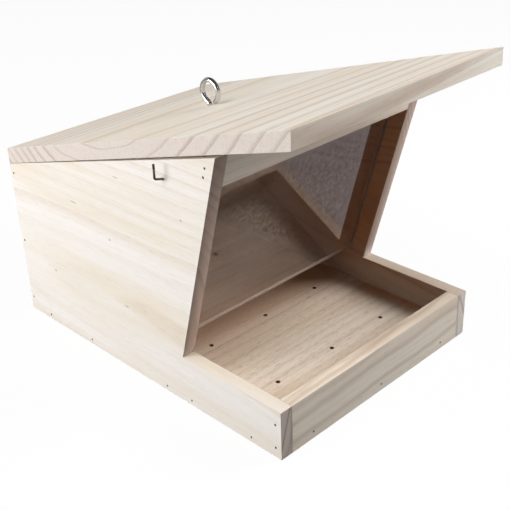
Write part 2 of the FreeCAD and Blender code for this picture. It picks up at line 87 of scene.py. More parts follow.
class Slot(str, Enum):
    """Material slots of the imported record."""

    SIDES = "pine_sides"
    RAILS = "pine_rails"
    FLOOR = "pine_floor"
    ROOF = "pine_roof"
    PANE = "clear_pane"
    EYE = "bright_steel"
    HOOKS = "dark_wire"
    NAILS = "nail_steel"
    HINGES = "hinge_steel"


class Side(Enum):
    """The two sides of the box, by the sign of X."""

    LEFT = -1
    RIGHT = 1


class Grain(Enum):
    """The way a board's grain runs, as the turn that brings it onto the pattern's first axis."""

    ACROSS = (0.0, 0.0, 0.0)
    DEPTH = (0.0, 0.0, -math.pi / 2)
    ROOF = (ROOF_SLOPE, 0.0, 0.0)


@dataclass(frozen=True)
class Tint:
    """A colour as it shows on a screen, from 0 to 255."""

    red: int
    green: int
    blue: int

    @property
    def linear(self) -> tuple[float, float, float, float]:
        """The same colour on the shader's scale."""
        parts = [((part / 255 + 0.055) / 1.055) ** 2.4 for part in (self.red, self.green, self.blue)]
        return (*parts, 1.0)


@dataclass(frozen=True)
class Noise:
    """Smooth noise, with its rates along the first axis and across it.

    Its shift sets it apart from other noise, its detail counts octaves, and its patches rise over the span.
    """

    along: float
    across: float
    shift: float = 0.0
    detail: float = 2.0
    span: Span = (0.0, 1.0)


# Trees of nodes


def operator(operation: str, reflected: bool = False) -> Callable[..., "Wire"]:
    """Write a method of Wire that adds a Math node.

    Args:
        operation: the node's operation.
        reflected: whether the wire is the last term and not the first.

    Returns:
        The method.
    """

    def method(wire: "Wire", *others: "Wire | float") -> "Wire":
        """Add the node for these terms."""
        terms = (*others, wire) if reflected else (wire, *others)
        return wire.tree.add("ShaderNodeMath", {"operation": operation}, dict(enumerate(terms)))

    return method


@dataclass(frozen=True)
class Wire:
    """An output of a node, by name or number. Arithmetic on it adds Math nodes to its tree."""

    tree: "NodeTree"
    node: bpy.types.Node
    output: str | int = 0

    @property
    def socket(self) -> bpy.types.NodeSocket:
        """The output socket itself."""
        return self.node.outputs[self.output]

    def twin(self, output: str | int) -> "Wire":
        """Another output of the same node."""
        return Wire(self.tree, self.node, output)

    __add__ = __radd__ = operator("ADD")
    __sub__ = operator("SUBTRACT")
    __rsub__ = operator("SUBTRACT", reflected=True)
    __mul__ = __rmul__ = operator("MULTIPLY")
    __truediv__ = operator("DIVIDE")
    __rtruediv__ = operator("DIVIDE", reflected=True)
    __pow__ = operator("POWER")
    __abs__ = operator("ABSOLUTE")
    floor = operator("FLOOR")
    most = operator("MAXIMUM")
    smooth_most = operator("SMOOTH_MAX")


Term = Wire | float
Entry = Wire | Tint | float | bool | str | Sequence
Coat = tuple[Term, Entry]


@dataclass(frozen=True)
class NodeTree:
    """A tree of nodes that is being built."""

    tree: bpy.types.NodeTree

    def add(
        self,
        kind: str,
        settings: Mapping[str, object] | None = None,
        sockets: Mapping[str | int, Entry] | None = None,
        output: str | int = 0,
    ) -> Wire:
        """Add one node.

        Args:
            kind: the node's type.
            settings: its properties, which are set first.
            sockets: values or links of its inputs, by name or number.
            output: the output that the expression goes on with.

        Returns:
            That output.
        """
        node = self.tree.nodes.new(kind)
        for name, value in (settings or {}).items():
            setattr(node, name, value)
        for key, value in (sockets or {}).items():
            if isinstance(value, Wire):
                self.tree.links.new(value.socket, node.inputs[key])
            else:
                node.inputs[key].default_value = value.linear if isinstance(value, Tint) else value
        return Wire(self, node, output)

    def blend(self, amount: Term, low: Entry, high: Entry) -> Wire:
        """Mix two colours, by the share of the second."""
        return self.add("ShaderNodeMix", {"data_type": "RGBA"}, {0: amount, 6: low, 7: high}, 2)

    def coated(self, colour: Entry, coats: Iterable[Coat]) -> Entry:
        """Lay coats over a colour.

        Args:
            colour: the colour at the bottom.
            coats: the share and the colour of each coat.

        Returns:
            The colour that shows.
        """
        for amount, coat in coats:
            colour = self.blend(amount, colour, coat)
        return colour

    def noise(self, place: Wire, kind: Noise, seed: float = 0.0) -> Wire:
        """Add smooth noise.

        Args:
            place: where the pattern is read.
            kind: its rates, shift and detail.
            seed: what is added to the shift.

        Returns:
            Values round one half.
        """
        moved = self.add(
            "ShaderNodeVectorMath",
            {"operation": "MULTIPLY_ADD"},
            {
                0: place,
                1: (kind.along, kind.across, kind.across),
                2: [(kind.shift + seed) * part for part in NOISE_WAY],
            },
        )
        return self.add(
            "ShaderNodeTexNoise",
            sockets={"Vector": moved, "Scale": 1.0, "Detail": kind.detail, "Roughness": NOISE_ROUGHNESS},
        )

    def ease(self, value: Term, low: Term, high: float) -> Wire:
        """Rise smoothly from 0 to 1 between two values."""
        return self.add(
            "ShaderNodeMapRange",
            {"interpolation_type": "SMOOTHSTEP"},
            {"Value": value, "From Min": low, "From Max": high},
        )

    def band(self, value: Wire, low: Term, high: float, fade: float, end: float) -> Wire:
        """Rise from 0 to 1 between two values, and fall back between two more."""
        return self.ease(value, low, high) * (1 - self.ease(value, fade, end))

    def patch(self, place: Wire, kind: Noise, seed: float = 0.0) -> Wire:
        """Noise that rises from 0 to 1 over its span."""
        return self.ease(self.noise(place, kind, seed), *kind.span)

    def split(self, place: Wire) -> tuple[Wire, Wire, Wire]:
        """The three parts of a vector."""
        first = self.add("ShaderNodeSeparateXYZ", sockets={"Vector": place}, output="X")
        return first, first.twin("Y"), first.twin("Z")

    def bump(self, height: Wire, depth: float, strength: float) -> Wire:
        """Normal of a relief that is a number of millimetres deep."""
        sockets = {"Height": height, "Distance": depth * MM, "Strength": strength}
        return self.add("ShaderNodeBump", sockets=sockets)


@dataclass(frozen=True)
class SurfaceTree(NodeTree):
    """The tree of one material."""

    material: bpy.types.Material

    @classmethod
    def start(cls, name: str) -> "SurfaceTree":
        """Start a material with an empty tree.

        Args:
            name: the material's name.

        Returns:
            Its tree.
        """
        material = bpy.data.materials.new(name)
        material.use_nodes = True
        material.node_tree.nodes.clear()
        return cls(material.node_tree, material)

    def attribute(self, name: str) -> Wire:
        """A value that is stored with the piece's faces."""
        return self.add("ShaderNodeAttribute", {"attribute_name": name}, output="Fac")

    def place(self, shift: Sequence[float] = (0.0,) * 3, turn: Sequence[float] = (0.0,) * 3) -> Wire:
        """Coordinates of the piece itself in millimetres, turned and then shifted."""
        spot = self.add("ShaderNodeTexCoord", output="Object")
        return self.add(
            "ShaderNodeMapping",
            sockets={"Vector": spot, "Location": shift, "Rotation": turn, "Scale": (1 / MM,) * 3},
        )

    def close(self, surface: Wire) -> bpy.types.Material:
        """Send the finished shader to the output, and give the material."""
        self.add("ShaderNodeOutputMaterial", sockets={"Surface": surface})
        return self.material

    def dress(self, sockets: Mapping[str, Entry]) -> bpy.types.Material:
        """Close the tree with a Principled shader."""
        return self.close(self.add("ShaderNodeBsdfPrincipled", sockets=sockets))


@dataclass(frozen=True)
class ShapeTree(NodeTree):
    """A Geometry Nodes tree with named inputs."""

    @classmethod
    def start(cls, name: str) -> "ShapeTree":
        """Start a tree that takes and gives geometry.

        Args:
            name: the tree's name.

        Returns:
            The tree.
        """
        group = bpy.data.node_groups.new(name, "GeometryNodeTree")
        for way in ("INPUT", "OUTPUT"):
            group.interface.new_socket("Geometry", in_out=way, socket_type="NodeSocketGeometry")
        return cls(group)

    def carried(self) -> Wire:
        """The geometry of the object that carries the tree."""
        return self.add("NodeGroupInput", output="Geometry")

    def take(self, name: str, kind: str) -> Wire:
        """Add a named input, by the last word of its socket type, such as Float."""
        self.tree.interface.new_socket(name, in_out="INPUT", socket_type=f"NodeSocket{kind}")
        return self.add("NodeGroupInput", output=name)

    def stored(self, name: str, kind: str) -> Wire:
        """A value that is stored with the points."""
        return self.add("GeometryNodeInputNamedAttribute", {"data_type": kind}, {"Name": name})

    def swept(self, line: Wire) -> Wire:
        """Sweep a circle along a line, with an input for its facets.

        Args:
            line: a curve whose points store their girth.

        Returns:
            The round solid.
        """
        facets = self.take("Facets", "Int")
        section = self.add("GeometryNodeCurvePrimitiveCircle", sockets={"Resolution": facets, "Radius": 1.0})
        girth = self.stored("girth", "FLOAT")
        return self.add(
            "GeometryNodeCurveToMesh",
            sockets={"Curve": line, "Profile Curve": section, "Scale": girth, "Fill Caps": True},
        )

    def close(self, shape: Wire) -> "ShapeTree":
        """End the tree with real meshes, soft shading and a material.

        Args:
            shape: the finished geometry.

        Returns:
            The tree.
        """
        real = self.add("GeometryNodeRealizeInstances", sockets={"Geometry": shape})
        soft = self.add("GeometryNodeSetShadeSmooth", sockets={"Geometry": real, "Shade Smooth": True})
        dressed = self.add(
            "GeometryNodeSetMaterial",
            sockets={"Geometry": soft, "Material": self.take("Material", "Material")},
        )
        self.add("NodeGroupOutput", sockets={"Geometry": dressed})
        return self

    def grow(self, name: str, carrier: bpy.types.Mesh, values: Mapping[str, object]) -> bpy.types.Object:
        """Run the tree on a mesh and keep the result as a plain mesh.

        Args:
            name: the piece's name.
            carrier: points or lines that the tree starts from.
            values: what the named inputs are set to.

        Returns:
            The piece.
        """
        holder = new_object(f"{name}_lines", carrier)
        modifier = holder.modifiers.new("Shape", "NODES")
        modifier.node_group = self.tree
        for item in self.tree.interface.items_tree:
            if item.in_out == "INPUT" and item.name in values:
                modifier[item.identifier] = values[item.name]
        depsgraph = bpy.context.evaluated_depsgraph_get()
        mesh = bpy.data.meshes.new_from_object(holder.evaluated_get(depsgraph), depsgraph=depsgraph)
        holder.modifiers.remove(modifier)
        bpy.data.objects.remove(holder)
        mesh.name = name
        return new_object(name, mesh)


# Objects


def new_object(name: str, data: bpy.types.ID) -> bpy.types.Object:
    """Put data into the scene, at the origin.

    Args:
        name: the object's name.
        data: its mesh, light or camera.

    Returns:
        The object.
    """
    piece = bpy.data.objects.new(name, data)
    bpy.context.scene.collection.objects.link(piece)
    return piece


def line_mesh(name: str, runs: Sequence[Sequence[tuple[Vector, float]]]) -> bpy.types.Mesh:
    """Draw lines through points that each have a radius.

    Args:
        name: the mesh's name.
        runs: the lines, each a row of points with their radii.

    Returns:
        A mesh of edges, with the radii in the attribute girth.
    """
    mesh = bpy.data.meshes.new(name)
    points = [spot for run in runs for spot, _ in run]
    edges = []
    start = 0
    for run in runs:
        edges += [(start + step, start + step + 1) for step in range(len(run) - 1)]
        start += len(run)
    mesh.from_pydata(points, edges, [])
    girth = mesh.attributes.new("girth", "FLOAT", "POINT")
    girth.data.foreach_set("value", [radius for run in runs for _, radius in run])
    return mesh


def point_mesh(name: str, spots: Sequence[tuple[Vector, Vector]]) -> bpy.types.Mesh:
    """Draw loose points that each have a heading.

    Args:
        name: the mesh's name.
        spots: the points with their headings.

    Returns:
        A mesh of points, with the headings in the attribute heading.
    """
    mesh = bpy.data.meshes.new(name)
    mesh.from_pydata([spot for spot, _ in spots], [], [])
    heading = mesh.attributes.new("heading", "FLOAT_VECTOR", "POINT")
    heading.data.foreach_set("vector", [part for _, way in spots for part in way])
    return mesh


def flat_sheet(name: str, width: float, height: float, finish: bpy.types.Material) -> bpy.types.Object:
    """Make a flat rectangle about the origin.

    Args:
        name: the object's name.
        width: metres along X.
        height: metres along Y.
        finish: its material.

    Returns:
        The rectangle.
    """
    across, up = width / 2, height / 2
    mesh = bpy.data.meshes.new(name)
    corners = [(-across, -up, 0), (across, -up, 0), (across, up, 0), (-across, up, 0)]
    mesh.from_pydata(corners, [], [(0, 1, 2, 3)])
    mesh.materials.append(finish)
    return new_object(name, mesh)


def merged(node: str) -> bmesh.types.BMesh:
    """Copy a solid and join its loose triangles.

    Args:
        node: the CAD node.

    Returns:
        The copy.
    """
    solid = bmesh.new()
    solid.from_mesh(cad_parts[node].data)
    bmesh.ops.remove_doubles(solid, verts=solid.verts, dist=WELD)
    return solid


def islands(node: str) -> list[list[Vector]]:
    """Find the separate solids in a node.

    Args:
        node: the CAD node.

    Returns:
        The points of each solid.
    """
    solid = merged(node)
    seen: set[bmesh.types.BMVert] = set()
    groups = []
    for first in solid.verts:
        waiting = [first]
        group = []
        while waiting:
            vert = waiting.pop()
            if vert not in seen:
                seen.add(vert)
                group.append(vert.co.copy())
                waiting += [edge.other_vert(vert) for edge in vert.link_edges]
        if group:
            groups.append(group)
    solid.free()
    return groups


def box_of(points: Sequence[Vector]) -> tuple[Vector, Vector]:
    """The middle and the size of the box round some points."""
    low, high = [Vector([pick(row) for row in zip(*points)]) for pick in (min, max)]
    return (low + high) / 2, high - low


def eased(node: str, name: str, ease: float) -> bpy.types.Object:
    """Copy a solid and round its long outer edges.

    Args:
        node: the CAD node.
        name: the piece's name.
        ease: millimetres that the rounding takes from each face.

    Returns:
        The piece, with the attributes rubbed, 1 on the roundings, and bored, 1 on the walls of bored holes.
    """
    level = math.radians(0.5)
    bent = math.radians(2)
    sharp = math.radians(50)
    short = 1.5 * MM
    narrow = 8.0 * MM * MM
    solid = merged(node)
    bmesh.ops.dissolve_limit(
        solid, angle_limit=level, verts=solid.verts, edges=solid.edges, use_dissolve_boundaries=False
    )
    rubbed = solid.faces.layers.float.new("rubbed")
    bored = solid.faces.layers.float.new("bored")
    for face in solid.faces:
        turned = all(edge.is_manifold and edge.calc_face_angle() > bent for edge in face.edges)
        face[bored] = float(turned and face.calc_area() < narrow)
    corners = [edge for edge in solid.edges if edge.is_manifold and edge.is_convex]
    made = bmesh.ops.bevel(
        solid,
        geom=[edge for edge in corners if edge.calc_face_angle() > sharp and edge.calc_length() > short],
        offset=ease * MM, offset_type="OFFSET", segments=2, profile=0.5, affect="EDGES", clamp_overlap=True,
    )
    for face in made["faces"]:
        face[rubbed] = 1.0
        face[bored] = 0.0
    mesh = bpy.data.meshes.new(name)
    solid.to_mesh(mesh)
    solid.free()
    return new_object(name, mesh)


def settle(piece: bpy.types.Object, body: Body, slot: Slot, *nodes: str) -> None:
    """Put a finished piece on its body, in place of CAD nodes.

    Args:
        piece: the finished piece.
        body: the body that it rides on.
        slot: the record's slot for its finish; not used.
        nodes: the CAD nodes that it stands for.
    """
    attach(piece, body.value)
    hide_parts(*nodes)
    LOG.info("%s: %d faces on %s", piece.name, len(piece.data.polygons), body.value)


# Finishes


@dataclass(frozen=True)
class Mark:
    """A pin knot or stain, in millimetres along and across the grain of a board."""

    along: float
    across: float
    radius: float = 1.2
    length: float = 2.0


@dataclass(frozen=True)
class Streak:
    """A dark layer of latewood that follows the grain, sharp on one side and fading on the other.

    Left and right are its heights at the two ends of the box's width, or its depths where it is upright.
    """

    left: float
    right: float
    fade: float
    share: float
    upright: bool = False


@dataclass(frozen=True)
class EndLine:
    """A dark ring on the sawn front end of a side.

    Foot and top are its distances from the outer face at the foot and the top of the tray.
    """

    foot: float
    top: float
    fade: float
    share: float


@dataclass(frozen=True)
class Pine:
    """Planed pine with growth rings round a pith line that lies somewhere beside the board.

    What several patterns read is a cached property, so that its nodes are added once.
    """

    name: str
    grain: Grain
    pith: Span
    seed: float
    pale: Tint
    warm: Tint
    late: Tint
    end: Tint = Tint(176, 154, 138)
    # Painted bounce light: a paler tint for the ends of the tray's walls.
    end_low_lit: Tint = Tint(188, 174, 162)
    end_ring: Tint = Tint(140, 114, 96)
    dash: Tint = Tint(112, 84, 66)
    # inner and inner_shade_ring: painted shade, the dark brown that the inner faces of the sides take.
    inner: Tint = Tint(173, 115, 70)
    inner_shade_ring: Tint = Tint(116, 68, 36)
    # silo_shade: painted shade for the faces that look into the silo and for the tray's corners.
    silo_shade: Tint = Tint(122, 70, 38)
    # bore_shade: painted shade for the walls of bored holes.
    bore_shade: Tint = Tint(104, 62, 36)
    # top: painted shade, a darker tint for the faces that look upward.
    top: Tint = Tint(206, 186, 156)
    fibre: Noise = Noise(0.012, 0.9, 3.0, 3.0)
    broad: Noise = Noise(0.0035, 0.03, 11.0, 2.0, (0.35, 0.68))
    fleck: Noise = Noise(0.09, 1.4, 23.0, 1.0, (0.56, 0.72))
    sway: Noise = Noise(0.004, 0.011)
    wave: Noise = Noise(0.014, 0.004, 31.0)
    wander: float = 10.0
    taper: float = 0.01
    ring_pitch: float = 9.0
    uneven_span: float = 5.0
    uneven_rings: float = 2.0
    ring_contrast: float = 0.5
    fine_contrast: float = 0.2
    fine_rings: float = 3.0
    fine_offset: float = 0.4
    fine_loss: float = 0.6
    late_start: float = 0.35
    late_stop: float = 0.94
    weak_ring: float = 0.3
    streaks: float = 0.35
    streak_gain: float = 2.2
    strand_level: float = 0.5
    dashes: float = 0.3
    dash_least: float = 0.4
    end_turn: Span = (0.55, 0.9)
    end_level: float = 0.4
    end_strands: float = 0.7
    tray_top: Span = (42.0, 60.0)
    tray_rear: Span = (0.0, 20.0)
    rub_least: float = 0.1
    rub_strands: float = 0.3
    # Where and how strongly the painted shade on upward faces is laid.
    upward: Span = (0.97, 1.0)
    top_shade_share: float = 0.0
    pane_foot: Span = (-14.0, 30.0)
    # Where and how strongly shade is painted on the inner faces of the sides.
    flank_turn: Span = (40.0, 80.0)
    flank_fade: Span = (5.0, 80.0)
    flank_loss: float = 0.7
    inner_shade_rise: Span = (0.0, 80.0)
    inner_shade_rings: float = 1.3
    inner_shade_share: float = 0.0
    # Where and how strongly shade is painted inside the silo and along the tray's side walls.
    silo: tuple[float, float, float] = (0.0, 62.0, 95.0)
    silo_turn: Span = (4.0, 12.0)
    shade_depth: float = 30.0
    shade_spill: float = 0.0
    shade_share: float = 0.6
    shade_patches: float = 0.3
    corner_shade_side: Span = (84.0, 106.0)
    corner_shade_rear: Span = (-70.0, -40.0)
    corner_shade_share: float = 0.0
    # How strongly shade is painted on the walls of bored holes.
    bore_shade_share: float = 0.92
    marks: tuple[Mark, ...] = ()
    mark_edge: Span = (0.3, 1.3)
    mark_share: float = 0.45
    end_lines: tuple[EndLine, ...] = ()
    line_edge: Span = (-0.7, 0.3)
    line_fade: float = 0.4
    layers: tuple[Streak, ...] = ()
    layer_edge: Span = (-3.4, 1.6)
    layer_fade: float = 0.8
    layer_swing: float = 9.0
    layer_dip: float = 0.0
    layer_front: float = 0.0
    roughness: float = 0.56
    fibre_roughness: float = 0.16
    end_roughness: float = 0.08
    gloss: float = 0.28
    fibre_relief: float = 0.6
    ring_relief: float = 0.5
    relief_depth: float = 0.12
    relief_strength: float = 0.55

    def material(self) -> bpy.types.Material:
        """Build the board's shader.

        Returns:
            The material.
        """
        tree = self.tree
        planed, sawn = tree.coated(self.pale, self.planed()), tree.coated(self.end, self.sawn())
        faced = tree.blend(self.end_grain, planed, sawn)
        rough = self.roughness + self.fibre_roughness * self.fibres + self.end_roughness * self.end_grain
        relief = self.fibres * self.fibre_relief + (self.rings - self.flecks) * self.ring_relief
        return tree.dress(
            {
                "Base Color": tree.coated(faced, self.used()),
                "Roughness": rough,
                "Specular IOR Level": self.gloss,
                "Normal": tree.bump(relief, self.relief_depth, self.relief_strength),
            }
        )

    @cached_property
    def tree(self) -> SurfaceTree:
        """The material's tree."""
        return SurfaceTree.start(self.name)

    @cached_property
    def spot(self) -> Wire:
        """Millimetres along X, Y and Z."""
        return self.tree.place()

    @cached_property
    def spot_parts(self) -> tuple[Wire, Wire, Wire]:
        """Width, reach and height, in millimetres along X, Y and Z."""
        return self.tree.split(self.spot)

    @cached_property
    def normal(self) -> Wire:
        """The way that the surface faces."""
        return self.tree.add("ShaderNodeTexCoord", output="Normal")

    @cached_property
    def place(self) -> Wire:
        """Millimetres along the grain and, from the pith line, across it and through it."""
        return self.tree.place((0.0, -self.pith[0], -self.pith[1]), self.grain.value)

    @cached_property
    def place_parts(self) -> tuple[Wire, Wire, Wire]:
        """The three parts of a place in the grain."""
        return self.tree.split(self.place)

    @cached_property
    def end_grain(self) -> Wire:
        """1 on faces that cut across the grain, 0 on faces along it."""
        sockets = {"Vector": self.normal, "Rotation": self.grain.value}
        turned = self.tree.add("ShaderNodeMapping", {"vector_type": "NORMAL"}, sockets)
        return self.tree.ease(abs(self.tree.split(turned)[0]), *self.end_turn)

    @cached_property
    def fibres(self) -> Wire:
        """Fine lines along the grain, round one half."""
        return self.tree.noise(self.place, self.fibre, self.seed)

    @cached_property
    def patches(self) -> Wire:
        """Broad patches along the grain, round one half."""
        return self.tree.noise(self.place, self.broad, self.seed)

    @cached_property
    def flecks(self) -> Wire:
        """Short dark dashes, most of them in the latewood."""
        fleck = self.tree.patch(self.place, self.fleck, self.seed)
        return fleck * (self.dash_least + self.rings) * self.dashes

    @cached_property
    def rings(self) -> Wire:
        """0 in the pale part of each growth ring, rising to a dark line at its edge."""
        fine = self.latewood(self.count * self.fine_rings + self.fine_offset, self.late_start)
        main = self.latewood(self.count, self.late_start) * self.ring_contrast
        return main + fine * (1 - self.fine_loss * self.end_grain) * self.fine_contrast

    @cached_property
    def tray(self) -> Wire:
        """1 as low and as far forward as the tray's walls."""
        _, reach, height = self.spot_parts
        return (1 - self.tree.ease(height, *self.tray_top)) * (1 - self.tree.ease(reach, *self.tray_rear))

    @cached_property
    def behind(self) -> Wire:
        """Millimetres behind the pane."""
        _, reach, height = self.spot_parts
        foot_reach, foot_height = self.pane_foot
        return (reach - foot_reach) * math.cos(PANE_LEAN) + (height - foot_height) * math.sin(PANE_LEAN)

    def strands(self, level: float) -> Wire:
        """How far the fibres rise above a level."""
        return (self.fibres - level).most(0.0)

    @cached_property
    def count(self) -> Wire:
        """Growth rings, counted from the pith line."""
        along, across, through = self.place_parts
        sway = self.tree.noise(self.place, self.sway, self.seed) - 0.5
        radius = (across * across + through * through) ** 0.5 + along * self.taper + sway * (2 * self.wander)
        spread = self.tree.add(
            "ShaderNodeTexNoise",
            {"noise_dimensions": "1D"},
            {"W": radius / (self.uneven_span * self.ring_pitch) + self.seed, "Scale": 1.0, "Detail": 1.0},
        )
        return radius / self.ring_pitch + spread * self.uneven_rings

    def latewood(self, count: Wire, start: Term) -> Wire:
        """Find the dark part of each ring in a count.

        Args:
            count: rings, counted from the pith line.
            start: share of the ring at which its dark part begins.

        Returns:
            0 to 1, stronger in some rings than in others.
        """
        ring = count.floor()
        phase = count - ring
        chance = self.tree.add("ShaderNodeTexWhiteNoise", {"noise_dimensions": "1D"}, {"W": ring + self.seed})
        dark = self.tree.band(phase, start, self.late_stop, self.late_stop, 1.0)
        return dark * (self.weak_ring + (1 - self.weak_ring) * chance)

    @cached_property
    def flank_shade(self) -> Wire:
        """Where shade is painted on the inner faces of the two sides: 1 high up, less deep in the silo."""
        width, _, height = self.spot_parts
        inward = self.tree.ease(0 - width * self.tree.split(self.normal)[0], *self.flank_turn)
        deep = self.tree.ease(self.behind, *self.flank_fade)
        return inward * (1 - self.flank_loss * deep) * self.tree.ease(height, *self.inner_shade_rise)

    @cached_property
    def silo_shading(self) -> Wire:
        """How far shade is painted on the faces that look into the silo, and on the corners of the tray."""
        tree = self.tree
        width, reach, _ = self.spot_parts
        towards = tree.add("ShaderNodeVectorMath", {"operation": "SUBTRACT"}, {0: self.silo, 1: self.spot})
        terms = {0: towards, 1: self.normal}
        facing = tree.add("ShaderNodeVectorMath", {"operation": "DOT_PRODUCT"}, terms, "Value")
        depth = tree.ease(self.behind, -self.shade_spill, self.shade_depth - self.shade_spill / 2)
        share = self.shade_share + self.shade_patches * self.patches
        # Painted shade along the tray's two side walls, forward of the silo.
        corner = tree.ease(abs(width), *self.corner_shade_side) * (1 - tree.ease(reach, *self.corner_shade_rear))
        return (tree.ease(facing, *self.silo_turn) * depth * share).most(corner * self.corner_shade_share)

    def planed(self) -> Iterator[Coat]:
        """Colour the faces along the grain.

        Returns:
            Coats over the pale wood, some of them dark layers that follow the grain.
        """
        along, across, through = self.place_parts
        yield self.tree.ease(self.patches, *self.broad.span), self.warm
        yield self.rings, self.late
        yield self.strands(self.strand_level) * (self.streak_gain * self.streaks), self.late
        for number, layer in enumerate(self.layers):
            wave = self.tree.noise(self.place, self.wave, self.seed + number) - 0.5
            middle = (layer.left + layer.right) / 2 - self.pith[0 if layer.upright else 1]
            drawn = along * ((layer.right - layer.left) / (2 * BOX_HALF)) + middle
            dip = (across - self.layer_front) * self.layer_dip
            past = (across if layer.upright else through) - drawn + wave * self.layer_swing + dip
            yield self.tree.band(past, *self.layer_edge, self.layer_fade, layer.fade) * layer.share, self.late
        yield self.flecks, self.dash

    def sawn(self) -> Iterator[Coat]:
        """Colour the end grain.

        Returns:
            Coats over the sawn wood: painted bounce light that makes the ends of the tray's walls paler, and
                dark rings, some of them on those ends.
        """
        width, _, height = self.spot_parts
        # Painted bounce light on the ends of the tray's walls.
        yield self.tray, self.end_low_lit
        yield self.rings + self.strands(self.end_level) * self.end_strands, self.end_ring
        for line in self.end_lines:
            drawn = BOX_HALF - line.foot - height * ((line.top - line.foot) / TRAY_HEIGHT)
            shade = self.tree.band(abs(width) - drawn, *self.line_edge, self.line_fade, line.fade)
            yield shade * self.tray * line.share, self.end_ring

    def used(self) -> Iterator[Coat]:
        """Colour the wear, the painted shade and the pin knots on all faces.

        Returns:
            Coats for rubbed edges, painted shade on upward faces, on the inner faces of the sides, inside the
            silo, in the tray's corners and on bored walls, and for pin knots.
        """
        tree = self.tree
        along, _, through = self.place_parts
        yield tree.attribute("rubbed") * (self.rub_least + self.rub_strands * self.fibres), self.end
        # Painted shade on the faces that look upward.
        yield tree.ease(tree.split(self.normal)[2], *self.upward) * self.top_shade_share, self.top
        # Painted shade on the inner faces of the sides, with darker rings in it.
        dark = self.rings * self.inner_shade_rings + self.strands(self.strand_level)
        yield self.flank_shade * self.inner_shade_share, tree.blend(dark, self.inner, self.inner_shade_ring)
        # Painted shade inside the silo and along the tray's side walls.
        yield self.silo_shading, self.silo_shade
        # Painted shade on the walls of bored holes.
        yield tree.attribute("bored") * self.bore_shade_share, self.bore_shade
        for mark in self.marks:
            over = (along - mark.along) / mark.length
            side = (through - (mark.across - self.pith[1])) / mark.radius
            shade = 1 - tree.ease((over * over + side * side) ** 0.5, *self.mark_edge)
            yield shade * self.mark_share, self.dash


@dataclass(frozen=True)
class HeartPine(Pine):
    """Pine sawn just under the heart, so that the rings cross the board in wide bowls.

    The rows front and rear say from how many millimetres off the pith line the count rises, and how fast.
    """

    sway: Noise = Noise(0.004, 0.02)
    fine_rings: float = 2.0
    fine_offset: float = 0.35
    fine_loss: float = 0.8
    finest_rings: float = 5.0
    finest_share: float = 0.5
    front: Profile = ((0.0, 0.0031), (45.0, 0.0186), (85.0, 0.0123), (140.0, 0.0105))
    rear: Profile = ((0.0, 0.0155), (60.0, 0.0417), (100.0, 0.0322))
    front_fan: Span = (0.095, 0.00086)
    rear_fan: Span = (0.1, 0.0)
    fan_start: float = -110.0
    depth_rate: float = 0.0605
    bowl_height: float = 7.0
    line_width: float = 13.0
    end_narrowing: float = 0.45
    soft: float = 14.0

    @cached_property
    def bowls(self) -> tuple[Wire, Wire]:
        """Growth rings, counted up both sides of the bowls, and how many come to a millimetre."""
        along, across, through = self.place_parts
        sway = self.tree.noise(self.place, self.sway, self.seed) - 0.5
        behind = across + sway * (2 * self.wander)
        total = (self.bowl_height - through) * self.depth_rate
        pace = 0.0
        for way, rows, fan in ((0 - behind, self.front, self.front_fan), (behind, self.rear, self.rear_fan)):
            spread = way - (along - self.fan_start) * (fan[0] - fan[1] * way)
            for start, rate in rows:
                total = total + (spread - start).smooth_most(0.0, self.soft) * rate
                pace = pace + self.tree.ease(spread, start - self.soft, start + self.soft) * rate
        return total, pace

    @cached_property
    def rings(self) -> Wire:
        """Latewood in lines about as wide everywhere, with finer ones between on the long faces."""
        count, pace = self.bowls
        width = pace * self.line_width * (1 - self.end_narrowing * self.end_grain)
        start = (self.late_stop - width).most(self.late_start)
        main = self.latewood(count, start) * self.ring_contrast
        fine = self.latewood(count * self.fine_rings + self.fine_offset, start)
        finest = self.latewood(count * self.finest_rings, start) * (1 - self.end_grain) * self.finest_share
        between = fine * (1 - self.fine_loss * self.end_grain) * self.fine_contrast
        return main.most(between) + finest * self.fine_contrast


@dataclass(frozen=True)
class ClearSheet:
    """Clear acrylic with a little dust, which mirrors what stands in front of it."""

    name: str = "clear_sheet"
    ior: float = 1.49
    clear: tuple[float, ...] = (0.95, 0.95, 0.94, 1.0)
    dust: Tint = Tint(206, 196, 186)
    mirror: Tint = Tint(255, 242, 240)
    film: Noise = Noise(0.02, 0.02, 5.0, 4.0, (0.4, 0.75))
    speck: Noise = Noise(0.9, 0.9, 9.0, 2.0, (0.68, 0.8))
    mottle: Noise = Noise(0.26, 0.26, 7.0, 4.0, (0.28, 0.72))
    grit: Noise = Noise(0.8, 0.8, 15.0, 2.0, (0.38, 0.66))
    roughness: float = 0.04
    film_roughness: float = 0.05
    mirror_gain: float = 2.55
    shine: float = 0.66
    mottle_shine: float = 0.44
    grit_shine: float = 0.24
    film_haze: float = 0.03
    speck_haze: float = 0.05
    grit_haze: float = 0.015
    mottle_haze: float = 0.055

    def material(self) -> bpy.types.Material:
        """Build the sheet's shader.

        Returns:
            The material.
        """
        tree = SurfaceTree.start(self.name)
        kinds = (self.film, self.speck, self.mottle, self.grit)
        place = tree.place()
        film, speck, mottle, grit = [tree.patch(place, kind) for kind in kinds]
        glance = tree.add("ShaderNodeFresnel", sockets={"IOR": self.ior})
        inside = tree.add("ShaderNodeNewGeometry", output="Backfacing")
        through = tree.add("ShaderNodeBsdfTransparent", sockets={"Color": self.clear})
        rough = self.roughness + self.film_roughness * film
        mirror = tree.add("ShaderNodeBsdfGlossy", sockets={"Color": self.mirror, "Roughness": rough})
        dusty = tree.add("ShaderNodeBsdfDiffuse", sockets={"Color": self.dust})
        polish = self.shine + self.mottle_shine * mottle + self.grit_shine * grit
        shine = self.mirror_gain * glance / (1.0 + glance) * polish * (1 - inside)
        clean = tree.add("ShaderNodeMixShader", sockets={0: shine, 1: through, 2: mirror})
        cloud = (self.grit_haze + self.mottle_haze * mottle) * grit
        haze = self.film_haze * film + self.speck_haze * speck + cloud
        return tree.close(tree.add("ShaderNodeMixShader", sockets={0: haze, 1: clean, 2: dusty}))


